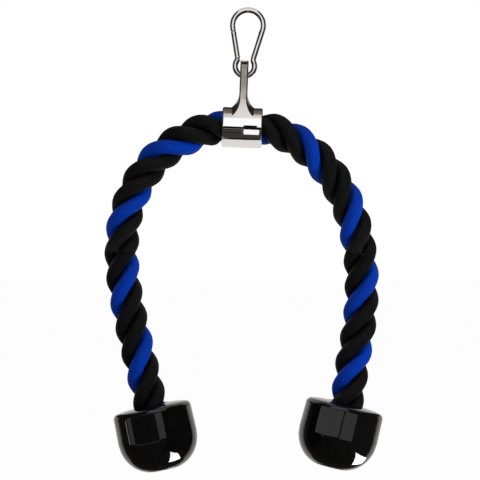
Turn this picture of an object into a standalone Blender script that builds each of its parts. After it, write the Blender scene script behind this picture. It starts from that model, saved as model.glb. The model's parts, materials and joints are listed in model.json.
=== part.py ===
"""Triceps rope attachment: a three-strand rope in a forged bracket, hung from a snap hook.

X runs across the rope's arch, Y from front to back and Z up. The origin is the top of the snap
hook's big eye, the point where the machine's cable carries everything. Lengths are in metres.
"""

import math

import bmesh
import bpy
from mathutils import Matrix, Vector

# Clearances between pieces that touch on the real thing
FIT = 0.0003
FINE_FIT = 0.0001
CUT_OVERRUN = 0.002
MERGE = 0.000001

# Snap hook: one round wire, bent to a big eye, two straight sides, a waist and a small eye. The
# waist pinch is how far the waist draws in from the small eye's width, on each side
HOOK_WIRE = 0.0041
HOOK_CROWN_RADIUS = 0.0128
HOOK_SMALL_EYE_RADIUS = 0.0081
HOOK_WAIST_RADIUS = 0.0050
HOOK_WAIST_PINCH = 0.0015
HOOK_NOSE_LENGTH = 0.0031
HOOK_LEAN = math.radians(4.4)
HOOK_FLAT_THICKNESS = 0.0012
HOOK_FLAT_WIDTH = 0.0036
HOOK_FLAT_ROOT = 0.0020
HOOK_HEEL_HEIGHT = 0.0021
HOOK_HINGE_GAP = 0.0006

# Gate: a round rod with a slot in each end, bored for the spring that closes it
GATE_LENGTH = 0.0216
GATE_DIAMETER = 0.0041
GATE_SLOT_WIDTH = 0.0017
GATE_FOOT_SLOT = 0.0032
GATE_HEAD_SLOT = 0.0061
GATE_BORE_DIAMETER = 0.0023
GATE_BORE_WALL = 0.0021
GATE_EDGE = 0.0003
RIVET_DIAMETER = 0.0017
RIVET_LENGTH = 0.0039
LATCH_PIN_DIAMETER = 0.0012
LATCH_PIN_DROP = 0.0032
LATCH_PIN_LENGTH = 0.0038
LATCH_NOTCH_PLAY = 0.0003
PLUNGER_LENGTH = 0.0034
PLUNGER_TIP_EDGE = 0.0003
SPRING_WIRE = 0.00032
SPRING_TURNS = 8
SPRING_WALL_PLAY = 0.0002

# Bracket: a sleeve for the rope and a flat tongue with the eye, forged as one
BRACKET_LEAN = math.radians(2.2)
SLEEVE_DIAMETER = 0.0335
SLEEVE_LENGTH = 0.0335
SLEEVE_EDGE = 0.0012
SLEEVE_DROP = 0.0432
TONGUE_SIDE_GAP = 0.0011
TONGUE_WIDTH = 0.0254
TONGUE_TOP_GAP = 0.0010
TONGUE_EDGE = 0.0016
FLARE_START = 0.0136
FLARE_HEIGHT = 0.0144
FLARE_REACH = 0.0112
FLARE_EDGE_GROWTH_SHARE = 0.6
WEB_SPREAD = 0.0028
WEB_FOOT = 0.0050
EYE_DIAMETER = 0.0105
EYE_RIM_RADIUS = 0.0022
EYE_SEAT_GAP = 0.0004

# Rope: three strands laid right-handed, one blue and two black
ROPE_DIAMETER = 0.0290
ROPE_LAY_LENGTH = 0.0640
ROPE_BEND_LENGTH = 0.0780
ROPE_HEART = 0.0002
STRAND_GAP = 0.0003
SLEEVE_PINCH = 0.0009
FERRULE_PINCH = 0.0009
PINCH_EASE = 0.0080

# The rope's route from each mouth of the sleeve to the top of its end cap: (outward, down)
LEFT_ROUTE = [
    (0.0000, 0.0000), (0.0120, 0.0018), (0.0220, 0.0055), (0.0306, 0.0097), (0.0385, 0.0139),
    (0.0459, 0.0190), (0.0527, 0.0248), (0.0588, 0.0312), (0.0642, 0.0381), (0.0690, 0.0456),
    (0.0731, 0.0534), (0.0766, 0.0616), (0.0794, 0.0700), (0.0815, 0.0788), (0.0829, 0.0878),
    (0.0836, 0.0970), (0.0838, 0.1063), (0.0834, 0.1156), (0.0825, 0.1251), (0.0812, 0.1346),
    (0.0796, 0.1440), (0.0778, 0.1534), (0.0759, 0.1626), (0.0739, 0.1717), (0.0718, 0.1807),
    (0.0697, 0.1894), (0.0676, 0.1979), (0.0633, 0.2160), (0.0592, 0.2340),
]
RIGHT_ROUTE = [
    (0.0000, 0.0000), (0.0120, 0.0026), (0.0210, 0.0063), (0.0288, 0.0108), (0.0361, 0.0159),
    (0.0428, 0.0214), (0.0489, 0.0276), (0.0545, 0.0343), (0.0595, 0.0413), (0.0641, 0.0486),
    (0.0681, 0.0564), (0.0716, 0.0644), (0.0746, 0.0727), (0.0772, 0.0812), (0.0792, 0.0899),
    (0.0808, 0.0987), (0.0820, 0.1077), (0.0828, 0.1168), (0.0831, 0.1259), (0.0831, 0.1351),
    (0.0828, 0.1443), (0.0821, 0.1535), (0.0811, 0.1626), (0.0798, 0.1716), (0.0783, 0.1805),
    (0.0767, 0.1892), (0.0751, 0.1978), (0.0730, 0.2145), (0.0697, 0.2311),
]

# End caps: moulded balls, bored from below for the crimped rope end. The base diameter is the
# flat in the middle of the round base, on the plug
CAP_HEIGHT = 0.0532
CAP_TOP_DIAMETER = 0.0658
CAP_SIDE_DIAMETER = 0.0668
CAP_BASE_DIAMETER = 0.0170
CAP_TOP_EDGE = 0.0045
CAP_DOME_RISE = 0.0015
CAP_SIDE_END = 0.0250
LEFT_CAP_TILT = math.radians(12.0)
RIGHT_CAP_TILT = math.radians(14.0)
FERRULE_LENGTH = 0.0160
FERRULE_WALL = 0.0020
FERRULE_GROOVE = 0.0006
FERRULE_GROOVE_WIDTH = 0.0024
FERRULE_GROOVES = 2
WASHER_THICKNESS = 0.0016
WASHER_EDGE = 0.0003
SCREW_SHANK_DIAMETER = 0.0048
SCREW_LENGTH = 0.0240
SCREW_POINT = 0.0050
SCREW_HOLE_PLAY = 0.0009
SCREW_HEAD_DIAMETER = 0.0095
SCREW_HEAD_HEIGHT = 0.0032
SCREW_DRIVE_DIAMETER = 0.0036
SCREW_DRIVE_DEPTH = 0.0016
PLUG_THICKNESS = 0.0030
PLUG_EDGE = 0.0006
PLUG_ROOM = 0.0037

# How finely round shapes are divided
WIRE_SIDES = 12
WIRE_STEP = math.radians(11)
PIN_SIDES = 14
ROD_SIDES = 20
SPRING_SIDES = 5
SPRING_POINTS = 9
SLEEVE_SIDES = 36
EYE_SIDES = 24
CAP_SIDES = 28
FITTING_SIDES = 20
ARC_STEPS = 5
FLARE_STEPS = 7
WEB_CORNER_STEPS = 3
WEB_SIDE_STEPS = 4
CAP_DOME_STEPS = 3
STRAND_SIDES = 7
LAY_STEPS = 10
ROUTE_SAMPLES = 12

ACROSS = Vector((1, 0, 0))
DEPTH = Vector((0, 1, 0))
UP = Vector((0, 0, 1))


def clear_scene():
    for stale in list(bpy.data.objects):
        bpy.data.objects.remove(stale)


def paint(name, colour, roughness, metallic):
    """A plain material with the colour and gloss of the real finish."""
    material = bpy.data.materials.new(name)
    material.use_nodes = True
    shader = material.node_tree.nodes["Principled BSDF"]
    shader.inputs["Base Color"].default_value = (*colour, 1)
    shader.inputs["Roughness"].default_value = roughness
    shader.inputs["Metallic"].default_value = metallic
    return material


def frame(name, parent, place, turn=0):
    """An empty that carries pieces: place is in the parent's frame, turn is about Y."""
    empty = bpy.data.objects.new(name, None)
    bpy.context.scene.collection.objects.link(empty)
    empty.parent = parent
    empty.location = place
    empty.rotation_euler = (0, turn, 0)
    return empty


def piece(name, bm, material, parent, smooth_angle=40):
    """Turns a closed bmesh into one named piece of the assembly."""
    bmesh.ops.remove_doubles(bm, verts=bm.verts, dist=MERGE)
    bmesh.ops.recalc_face_normals(bm, faces=bm.faces)
    mesh = bpy.data.meshes.new(name)
    bm.to_mesh(mesh)
    bm.free()
    mesh.shade_smooth()
    mesh.set_sharp_from_angle(angle=math.radians(smooth_angle))
    mesh.materials.append(material)
    made = bpy.data.objects.new(name, mesh)
    bpy.context.scene.collection.objects.link(made)
    made.parent = parent
    return made


def shape_with(target, tool, operation):
    """Cuts the tool from the target, or joins it on, and hides the tool."""
    tool.hide_render = True
    tool.display_type = "WIRE"
    modifier = target.modifiers.new(tool.name, "BOOLEAN")
    modifier.operation = operation
    modifier.solver = "EXACT"
    modifier.object = tool


def turned(profile, sides, closed=False):
    """Spins a profile of (radius, height) points about Z."""
    bm = bmesh.new()
    line = [bm.verts.new((radius, 0, height)) for radius, height in profile]
    pairs = zip(line, line[1:] + line[:1] if closed else line[1:])
    edges = [bm.edges.new(pair) for pair in pairs]
    bmesh.ops.spin(
        bm, geom=line + edges, cent=(0, 0, 0), axis=UP, angle=math.tau, steps=sides, use_merge=True
    )
    return bm


def turned_to(bm, direction, centre=(0, 0, 0), roll=0):
    """Turns a shape made about Z so that it lies along another direction, at centre."""
    turn = UP.rotation_difference(direction).to_matrix().to_4x4() @ Matrix.Rotation(roll, 4, UP)
    bmesh.ops.transform(bm, matrix=Matrix.Translation(centre) @ turn, verts=bm.verts)
    return bm


def rod(radius, low, high, sides, edge=0):
    """A solid round bar along Z, with its end edges broken by a chamfer."""
    profile = [(0, low), (radius - edge, low), (radius, low + edge)]
    profile += [(radius, high - edge), (radius - edge, high), (0, high)]
    return turned(profile, sides)


def ring_wall(inner, outer, low, high, sides, edge=0):
    """A round tube along Z with its outer edges broken by a chamfer."""
    profile = [(inner, high), (outer - edge, high), (outer, high - edge)]
    profile += [(outer, low + edge), (outer - edge, low), (inner, low)]
    return turned(profile, sides, closed=True)


def plate(outline, thickness):
    """A flat plate in the XZ plane, centred on Y, from its (x, z) outline."""
    bm = bmesh.new()
    face = bm.faces.new([bm.verts.new((x, -thickness / 2, z)) for x, z in outline])
    grown = bmesh.ops.extrude_face_region(bm, geom=[face])
    moved = [v for v in grown["geom"] if isinstance(v, bmesh.types.BMVert)]
    bmesh.ops.translate(bm, vec=DEPTH * thickness, verts=moved)
    return bm


def block(low, high):
    """A box from its lowest to its highest corner."""
    bm = bmesh.new()
    bmesh.ops.create_cube(bm, size=1)
    low, high = Vector(low), Vector(high)
    bmesh.ops.scale(bm, vec=high - low, verts=bm.verts)
    bmesh.ops.translate(bm, vec=(low + high) / 2, verts=bm.verts)
    return bm


def arc(centre, radius, start, end, step=WIRE_STEP):
    """Points on a circle in the XZ plane, both ends included."""
    count = max(2, math.ceil(abs(end - start) / step))
    angles = [start + (end - start) * i / count for i in range(count + 1)]
    return [centre + radius * Vector((math.cos(a), 0, math.sin(a))) for a in angles]


def angle_of(point, centre):
    return math.atan2(point.z - centre.z, point.x - centre.x)


def mirrored(point):
    return Vector((-point.x, point.y, point.z))


def eased(share):
    """Runs smoothly from 0 to 1 as share does."""
    share = min(1, max(0, share))
    return share * share * (3 - 2 * share)


def lofted(rings):
    """A closed solid through rings with as many points each."""
    bm = bmesh.new()
    loops = [[bm.verts.new(point) for point in ring] for ring in rings]
    for near, far in zip(loops, loops[1:]):
        for i in range(len(near)):
            j = (i + 1) % len(near)
            bm.faces.new((near[i], near[j], far[j], far[i]))
    bm.faces.new(loops[0])
    bm.faces.new(loops[-1])
    return bm


def wire(path, radius, sides):
    """A round wire along a path, square at both ends."""
    rings = []
    for i, point in enumerate(path):
        along = (path[min(i + 1, len(path) - 1)] - path[max(i - 1, 0)]).normalized()
        side = DEPTH.cross(along).normalized()
        other = along.cross(side)
        turns = [math.tau * k / sides for k in range(sides)]
        rings.append([point + radius * (math.cos(a) * side + math.sin(a) * other) for a in turns])
    return lofted(rings)


def hook_side():
    """The length of the hook's straight sides, which the gate and the nose share."""
    return GATE_LENGTH + FIT + HOOK_NOSE_LENGTH


def waist_width():
    """From the hook's middle to the waist's wire, at its narrowest."""
    return HOOK_SMALL_EYE_RADIUS - HOOK_WAIST_PINCH


def side_lean():
    """How far the straight sides lean in, so that the waist comes to its width."""
    arm = HOOK_CROWN_RADIUS + HOOK_WAIST_RADIUS
    span = math.hypot(arm, hook_side())
    return math.acos((waist_width() + HOOK_WAIST_RADIUS) / span) - math.atan2(hook_side(), arm)


def hook_marks():
    """Where the hook's arcs and straight sides meet, on its right side, in the hook's frame."""
    lean = side_lean()
    crown = Vector((0, 0, HOOK_WIRE / 2 - HOOK_CROWN_RADIUS))
    out = Vector((math.cos(lean), 0, -math.sin(lean)))
    down = Vector((-math.sin(lean), 0, -math.cos(lean)))
    waist = crown + HOOK_CROWN_RADIUS * out + hook_side() * down
    bend = waist + HOOK_WAIST_RADIUS * out
    reach = HOOK_SMALL_EYE_RADIUS + HOOK_WAIST_RADIUS
    small = Vector((0, 0, bend.z - math.sqrt(reach * reach - bend.x * bend.x)))
    flank = small + (bend - small) * HOOK_SMALL_EYE_RADIUS / reach
    return crown, small, waist, bend, flank


def hook_path():
    """The wire's centreline: nose, crown, spine, waist, small eye, and up to the hinge."""
    crown, small, waist, bend, flank = hook_marks()
    hinge, left_bend, left_flank = mirrored(waist), mirrored(bend), mirrored(flank)
    nose = hinge + (GATE_LENGTH + FIT) * gate_line()
    lean = side_lean()
    path = [nose] + arc(crown, HOOK_CROWN_RADIUS, math.pi + lean, -lean)
    path += arc(bend, HOOK_WAIST_RADIUS, math.pi - lean, angle_of(flank, bend) % math.tau)
    low = angle_of(flank, small)
    path += arc(small, HOOK_SMALL_EYE_RADIUS, low, -math.pi - low)[1:]
    turn_left = (GATE_DIAMETER / 2 + HOOK_HINGE_GAP) / HOOK_WAIST_RADIUS
    start = angle_of(left_flank, left_bend)
    path += arc(left_bend, HOOK_WAIST_RADIUS, start, lean - turn_left)[1:]
    return path


def gate_line():
    """The direction from the hinge up the gate, in the hook's frame."""
    return Vector((-math.sin(side_lean()), 0, math.cos(side_lean())))


def latch_height():
    return GATE_LENGTH - LATCH_PIN_DROP


def gate_bore_end():
    return GATE_LENGTH - GATE_HEAD_SLOT - GATE_BORE_WALL


def nose_blade():
    """The flat tip of the nose, with the notch that the latch pin sits in."""
    half = HOOK_FLAT_WIDTH / 2
    low = GATE_LENGTH - GATE_HEAD_SLOT + 2 * FIT
    high = GATE_LENGTH + FIT + HOOK_FLAT_ROOT
    deep = -(LATCH_PIN_DIAMETER / 2 + LATCH_NOTCH_PLAY)
    notch_low, notch_high = latch_height() + deep, latch_height() - deep
    outline = [(-half, low), (half, low), (half, notch_low), (deep, notch_low)]
    outline += [(deep, notch_high), (half, notch_high), (half, high), (-half, high)]
    return plate(outline, HOOK_FLAT_THICKNESS)


def hinge_tang():
    """The flat heel of the wire inside the gate's foot, on which the plunger presses."""
    half = HOOK_FLAT_WIDTH / 2
    radius = HOOK_WAIST_RADIUS
    reach = (GATE_DIAMETER / 2 + HOOK_HINGE_GAP + HOOK_FLAT_ROOT) / radius
    turns = [reach * i / ARC_STEPS for i in range(1, ARC_STEPS + 1)]
    near, far = radius - half, radius + half
    right = [(-radius + far * math.cos(a), -far * math.sin(a)) for a in turns]
    left = [(-radius + near * math.cos(a), -near * math.sin(a)) for a in reversed(turns)]
    heel = [(-half, HOOK_HEEL_HEIGHT), (half, HOOK_HEEL_HEIGHT)]
    return plate(heel + right + left, HOOK_FLAT_THICKNESS)


def make_snap_hook(steel, hook_frame, gate_frame):
    body = piece("snap_hook_body", wire(hook_path(), HOOK_WIRE / 2, WIRE_SIDES), steel, hook_frame)
    shape_with(body, piece("cutter_nose_blade", nose_blade(), steel, gate_frame), "UNION")
    shape_with(body, piece("cutter_hinge_tang", hinge_tang(), steel, gate_frame), "UNION")
    hole = turned_to(rivet_hole(), DEPTH)
    shape_with(body, piece("cutter_tang_hole", hole, steel, gate_frame), "DIFFERENCE")


def rivet_hole():
    reach = GATE_DIAMETER / 2 + CUT_OVERRUN
    return rod(RIVET_DIAMETER / 2 + FINE_FIT, -reach, reach, PIN_SIDES)


def make_gate(steel, spring_steel, gate_frame):
    radius = GATE_DIAMETER / 2
    foot = [(radius * math.sin(a), -radius * math.cos(a)) for a in quarter(ARC_STEPS)]
    top = [(radius, GATE_LENGTH - GATE_EDGE), (radius - GATE_EDGE, GATE_LENGTH), (0, GATE_LENGTH)]
    gate = piece("gate", turned(foot + top, ROD_SIDES), steel, gate_frame)
    slot, wide = GATE_SLOT_WIDTH / 2, GATE_DIAMETER
    foot_slot = block((-wide, -slot, -wide), (wide, slot, GATE_FOOT_SLOT))
    head_low = GATE_LENGTH - GATE_HEAD_SLOT
    head_slot = block((-wide, -slot, head_low), (wide, slot, GATE_LENGTH + CUT_OVERRUN))
    bore = rod(GATE_BORE_DIAMETER / 2, HOOK_HEEL_HEIGHT - FIT, gate_bore_end(), PIN_SIDES)
    pin_reach = radius + CUT_OVERRUN
    pin_hole = rod(LATCH_PIN_DIAMETER / 2 + FINE_FIT, -pin_reach, pin_reach, PIN_SIDES)
    pin_hole = turned_to(pin_hole, DEPTH, UP * latch_height())
    tools = {"foot_slot": foot_slot, "head_slot": head_slot, "spring_bore": bore}
    tools |= {"rivet_hole": turned_to(rivet_hole(), DEPTH), "latch_pin_hole": pin_hole}
    for name, tool in tools.items():
        shape_with(gate, piece("cutter_" + name, tool, steel, gate_frame), "DIFFERENCE")
    half = RIVET_LENGTH / 2
    rivet = rod(RIVET_DIAMETER / 2, -half, half, PIN_SIDES, GATE_EDGE)
    piece("gate_rivet", turned_to(rivet, DEPTH), steel, gate_frame)
    half = LATCH_PIN_LENGTH / 2
    pin = rod(LATCH_PIN_DIAMETER / 2, -half, half, PIN_SIDES)
    piece("gate_latch_pin", turned_to(pin, DEPTH, UP * latch_height()), steel, gate_frame)
    plunger_low = HOOK_HEEL_HEIGHT + FINE_FIT
    plunger_top = plunger_low + PLUNGER_LENGTH
    plunger_radius = GATE_BORE_DIAMETER / 2 - FINE_FIT
    plunger = rod(plunger_radius, plunger_low, plunger_top, PIN_SIDES, PLUNGER_TIP_EDGE)
    piece("gate_plunger", plunger, steel, gate_frame)
    coil = wire(spring_path(plunger_top), SPRING_WIRE / 2, SPRING_SIDES)
    piece("gate_spring", coil, spring_steel, gate_frame)


def quarter(steps):
    """Angles from 0 to a right angle."""
    return [math.pi / 2 * i / steps for i in range(steps + 1)]


def spring_path(low):
    """The coil spring's wire, from the plunger's back to the end of the gate's bore."""
    radius = (GATE_BORE_DIAMETER - SPRING_WIRE) / 2 - SPRING_WALL_PLAY
    start = low + SPRING_WIRE / 2 + FINE_FIT
    rise = gate_bore_end() - SPRING_WIRE / 2 - FINE_FIT - start
    count = SPRING_TURNS * SPRING_POINTS
    turns = [math.tau * i / SPRING_POINTS for i in range(count + 1)]
    heights = [start + rise * i / count for i in range(count + 1)]
    path = [Vector((radius * math.cos(a), radius * math.sin(a), z)) for a, z in zip(turns, heights)]
    spacing = rise / SPRING_TURNS - SPRING_WIRE
    print(f"gate spring: least gap between turns {spacing * 1000:.2f} mm")
    return path


def rounded_ring(half_x, half_y, corner, height):
    """A level rectangle with round corners, as points in order, with some along its long sides."""
    corner = min(corner, half_x, half_y)
    points = []
    for start, sign_x, sign_y in ((0, 1, 1), (1, -1, 1), (2, -1, -1), (3, 1, -1)):
        middle_x, middle_y = sign_x * (half_x - corner), sign_y * (half_y - corner)
        for turn in quarter(WEB_CORNER_STEPS):
            angle = start * math.pi / 2 + turn
            x, y = middle_x + corner * math.cos(angle), middle_y + corner * math.sin(angle)
            points.append(Vector((x, y, height)))
        if sign_x != sign_y:
            for i in range(1, WEB_SIDE_STEPS):
                y = middle_y * (1 - 2 * i / WEB_SIDE_STEPS)
                points.append(Vector((sign_x * half_x, y, height)))
    return points


def followed(ring, lowest):
    """A ring lowered as the round sleeve falls away from its top, no further than lowest."""
    radius = SLEEVE_DIAMETER / 2
    for point in ring:
        fall = radius - math.sqrt(max(0, radius * radius - point.y * point.y))
        point.z = max(lowest, point.z - fall)
    return ring


def tongue_half_thickness():
    """The tongue fits through the hook's waist."""
    return waist_width() - HOOK_WIRE / 2 - TONGUE_SIDE_GAP


def tongue_top():
    """The tongue's top lies just under the waist, above the wire that it hangs on."""
    return 2 * HOOK_SMALL_EYE_RADIUS - HOOK_WIRE / 2 - TONGUE_TOP_GAP


def bracket_web():
    """The tongue, flared into the sleeve's length and depth, as level rings from the top down."""
    half_x, half_y = tongue_half_thickness(), TONGUE_WIDTH / 2
    foot = WEB_FOOT - SLEEVE_DROP
    limit = SLEEVE_LENGTH / 2 - SLEEVE_EDGE
    rings = []
    for turn in quarter(2 * ARC_STEPS)[1:]:
        height = tongue_top() - half_y + half_y * math.cos(turn)
        rings.append(rounded_ring(half_x, half_y * math.sin(turn), TONGUE_EDGE, height))
    for turn in quarter(FLARE_STEPS):
        height = -FLARE_START - FLARE_HEIGHT * math.sin(turn)
        grown = min(FLARE_REACH * (1 - math.cos(turn)), limit - half_x)
        spread = WEB_SPREAD * eased((-FLARE_START - height) / (-FLARE_START - foot))
        corner = TONGUE_EDGE + FLARE_EDGE_GROWTH_SHARE * grown
        ring = rounded_ring(half_x + grown, half_y + spread, corner, height)
        rings.append(followed(ring, foot + FIT))
    corner = TONGUE_EDGE + FLARE_EDGE_GROWTH_SHARE * grown
    rings.append(rounded_ring(half_x + grown, half_y + WEB_SPREAD, corner, foot))
    return lofted(rings)


def make_bracket(steel, swing_frame):
    outer, half, edge = SLEEVE_DIAMETER / 2, SLEEVE_LENGTH / 2, SLEEVE_EDGE
    rounding = [(edge * math.sin(a), edge * math.cos(a)) for a in quarter(3)]
    bottom = [(outer - edge + x, -half + edge - z) for x, z in rounding]
    top = [(outer - edge + x, half - edge + z) for x, z in reversed(rounding)]
    profile = [(0, -half)] + bottom + top + [(0, half)]
    middle = UP * -SLEEVE_DROP
    barrel = turned_to(turned(profile, SLEEVE_SIDES), ACROSS, middle)
    bracket = piece("bracket", barrel, steel, swing_frame, smooth_angle=50)
    bore_radius = ROPE_DIAMETER / 2 - SLEEVE_PINCH + FIT
    bore = rod(bore_radius, -half - CUT_OVERRUN, half + CUT_OVERRUN, SLEEVE_SIDES)
    bore = turned_to(bore, ACROSS, middle, roll=math.pi / SLEEVE_SIDES)
    rim, side = EYE_RIM_RADIUS, tongue_half_thickness()
    land = side - rim + FINE_FIT
    eye = EYE_DIAMETER / 2
    lip = [(eye + rim * (1 - math.cos(a)), land + rim * math.sin(a)) for a in quarter(3)]
    reach = side + CUT_OVERRUN
    upper = lip + [(eye + rim, reach), (0, reach)]
    lower = [(radius, -height) for radius, height in reversed(upper)]
    seat = UP * -(eye - HOOK_WIRE / 2 - EYE_SEAT_GAP)
    eye_cut = turned_to(turned(lower + upper, EYE_SIDES), ACROSS, seat)
    shape_with(bracket, piece("cutter_web", bracket_web(), steel, swing_frame), "UNION")
    shape_with(bracket, piece("cutter_bore", bore, steel, swing_frame), "DIFFERENCE")
    shape_with(bracket, piece("cutter_eye", eye_cut, steel, swing_frame), "DIFFERENCE")


# The rope. A place on it is a centreline point, the direction towards its right-hand end, and its
# distance from the middle of the sleeve, which sets how far the strands have turned there.


def smooth_route(points, start, end):
    """A smooth curve through the points, as close (point, direction) pairs."""
    first_run, last_run = (points[1] - points[0]).length, (points[-1] - points[-2]).length
    before = points[1] - 2 * first_run * start
    after = points[-2] + 2 * last_run * end
    held = [before] + points + [after]
    fine = []
    for a, b, c, d in zip(held, held[1:], held[2:], held[3:]):
        square, cube = 2 * a - 5 * b + 4 * c - d, 3 * b - a - 3 * c + d
        for i in range(ROUTE_SAMPLES):
            t = i / ROUTE_SAMPLES
            point = b + ((c - a) * t + square * t**2 + cube * t**3) / 2
            slope = c - a + 2 * square * t + 3 * cube * t**2
            fine.append((point, slope.normalized()))
    return fine + [(points[-1], end)]


def places_along(line, first, last, toward_right):
    """Evenly spaced places from first to last metres along a line."""
    runs = [0]
    for near, far in zip(line, line[1:]):
        runs.append(runs[-1] + (far[0] - near[0]).length)
    count = max(1, math.ceil((last - first) / (ROPE_LAY_LENGTH / LAY_STEPS)))
    places, at = [], 0
    for i in range(count + 1):
        run = first + (last - first) * i / count
        while at < len(runs) - 2 and runs[at + 1] < run:
            at += 1
        share = (run - runs[at]) / (runs[at + 1] - runs[at])
        (near, near_way), (far, far_way) = line[at], line[at + 1]
        way = near_way.lerp(far_way, share).normalized()
        places.append((near.lerp(far, share), way * toward_right, run))
    return places


def strand_ring(point, along, turn, radius, heart):
    """One strand's section: a round lobe that narrows to a wedge at the rope's heart."""
    outward = along.cross(DEPTH)
    face = -DEPTH * math.cos(turn) - outward * math.sin(turn)
    flank = DEPTH * math.sin(turn) - outward * math.cos(turn)
    lobe = radius / (1 + 1 / math.cos(math.pi / 6))
    centre = point + face * (radius - lobe)
    lobe -= STRAND_GAP / 2
    widest = math.pi - math.pi / 6
    ring = [point + face * heart]
    for i in range(STRAND_SIDES + 1):
        angle = -widest + 2 * widest * i / STRAND_SIDES
        ring.append(centre + lobe * (math.cos(angle) * face + math.sin(angle) * flank))
    return ring


def strand(places, number, pinch, heart):
    """One strand of the rope over some places, as a closed solid of matching triangles."""
    bm = bmesh.new()
    loops = []
    for point, along, distance in places:
        turn = math.tau * (distance / ROPE_LAY_LENGTH + number / 3)
        radius = ROPE_DIAMETER / 2 - pinch(distance)
        ring = strand_ring(point, along, turn, radius, heart(distance))
        loops.append([bm.verts.new(p) for p in ring])
    for near, far in zip(loops, loops[1:]):
        count = len(near)
        for i in range(count):
            j = (i + 1) % count
            if i:
                bm.faces.new((near[i], near[j], far[i]))
                bm.faces.new((near[j], far[j], far[i]))
            else:
                bm.faces.new((near[i], near[j], far[j]))
                bm.faces.new((near[i], far[j], far[i]))
    bm.faces.new(loops[0])
    bm.faces.new(loops[-1])
    return bm


def make_strands(stretch, places, parent, colours, pinch, heart):
    for number, (colour, material) in enumerate(colours):
        name = f"{stretch}_{colour}"
        piece(name, strand(places, number, pinch, heart), material, parent, smooth_angle=50)


def make_leg(side, sign, route, tilt, leg_frame, finishes):
    """One leg of the rope, into its end cap. sign is -1 on the left and 1 on the right."""
    points = [Vector((sign * out, 0, -down)) for out, down in route]
    start = Vector((sign * math.cos(BRACKET_LEAN), 0, -sign * math.sin(BRACKET_LEAN)))
    end = Vector((-sign * math.sin(tilt), 0, -math.cos(tilt)))
    line = smooth_route(points, start, end)
    free = sum((far[0] - near[0]).length for near, far in zip(line, line[1:]))
    rope_end_depth = cap_step_depth() + FIT + FERRULE_LENGTH
    line.append((points[-1] + end * rope_end_depth, end))
    mouth = SLEEVE_LENGTH / 2
    whole = free + rope_end_depth
    print(f"{side} leg: {free * 1000:.1f} mm free, {whole * 1000:.1f} mm with its end in the cap")

    def pinch(distance):
        from_mouth = abs(distance) - mouth
        from_end = whole - from_mouth
        squeezed = SLEEVE_PINCH * (1 - eased(from_mouth / PINCH_EASE))
        crimped = FERRULE_PINCH * (1 - eased((from_end - FERRULE_LENGTH) / PINCH_EASE))
        return squeezed + crimped

    def heart(distance):
        from_end = whole - (abs(distance) - mouth)
        spread = 1 - eased((from_end - SCREW_LENGTH) / PINCH_EASE)
        hole = SCREW_SHANK_DIAMETER / 2 + SCREW_HOLE_PLAY
        return ROPE_HEART + spread * (hole - ROPE_HEART)

    for stretch, first, last in (
        ("bend", FIT, ROPE_BEND_LENGTH - FIT / 2),
        ("grip", ROPE_BEND_LENGTH + FIT / 2, whole),
    ):
        places = places_along(line, first, last, sign)
        placed = [(p, along, sign * (mouth + run)) for p, along, run in places][::sign]
        make_strands(f"{side}_{stretch}", placed, leg_frame, finishes["strands"], pinch, heart)


def cap_step_depth():
    """How deep the cap's narrow bore runs, above the chamber that holds the fittings."""
    fittings = FERRULE_LENGTH + WASHER_THICKNESS + SCREW_HEAD_HEIGHT + 3 * FIT
    return CAP_HEIGHT - PLUG_THICKNESS - PLUG_ROOM - fittings


def base_depth(radius):
    """How far the round base lies below the cap's shoulder, at some radius."""
    side, flat = CAP_SIDE_DIAMETER / 2, CAP_BASE_DIAMETER / 2
    share = max(0, radius - flat) / (side - flat)
    return CAP_SIDE_END + (CAP_HEIGHT - CAP_SIDE_END) * math.sqrt(max(0, 1 - share * share))


def cap_profile(bore, chamber):
    """The end cap's outside from its domed top to its round base, then up its stepped bore."""
    top, side, edge = CAP_TOP_DIAMETER / 2, CAP_SIDE_DIAMETER / 2, CAP_TOP_EDGE
    fall_off = math.atan(2 * CAP_DOME_RISE / (top - edge - bore))
    turns = [fall_off + (math.pi / 2 - fall_off) * i / ARC_STEPS for i in range(ARC_STEPS + 1)]
    rounding = [(top - edge + edge * math.sin(a), -edge + edge * math.cos(a)) for a in turns]
    shoulder, level = rounding[0]
    shares = [i / CAP_DOME_STEPS for i in range(CAP_DOME_STEPS)]
    profile = [
        (bore + (shoulder - bore) * t, level + CAP_DOME_RISE * (1 - t * t)) for t in shares
    ]
    profile += rounding
    widths = [side + (chamber - side) * math.sin(a) for a in quarter(FLARE_STEPS)]
    profile += [(width, -base_depth(width)) for width in widths]
    step = cap_step_depth()
    profile += [(chamber, -step), (bore, -step)]
    return profile


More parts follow.
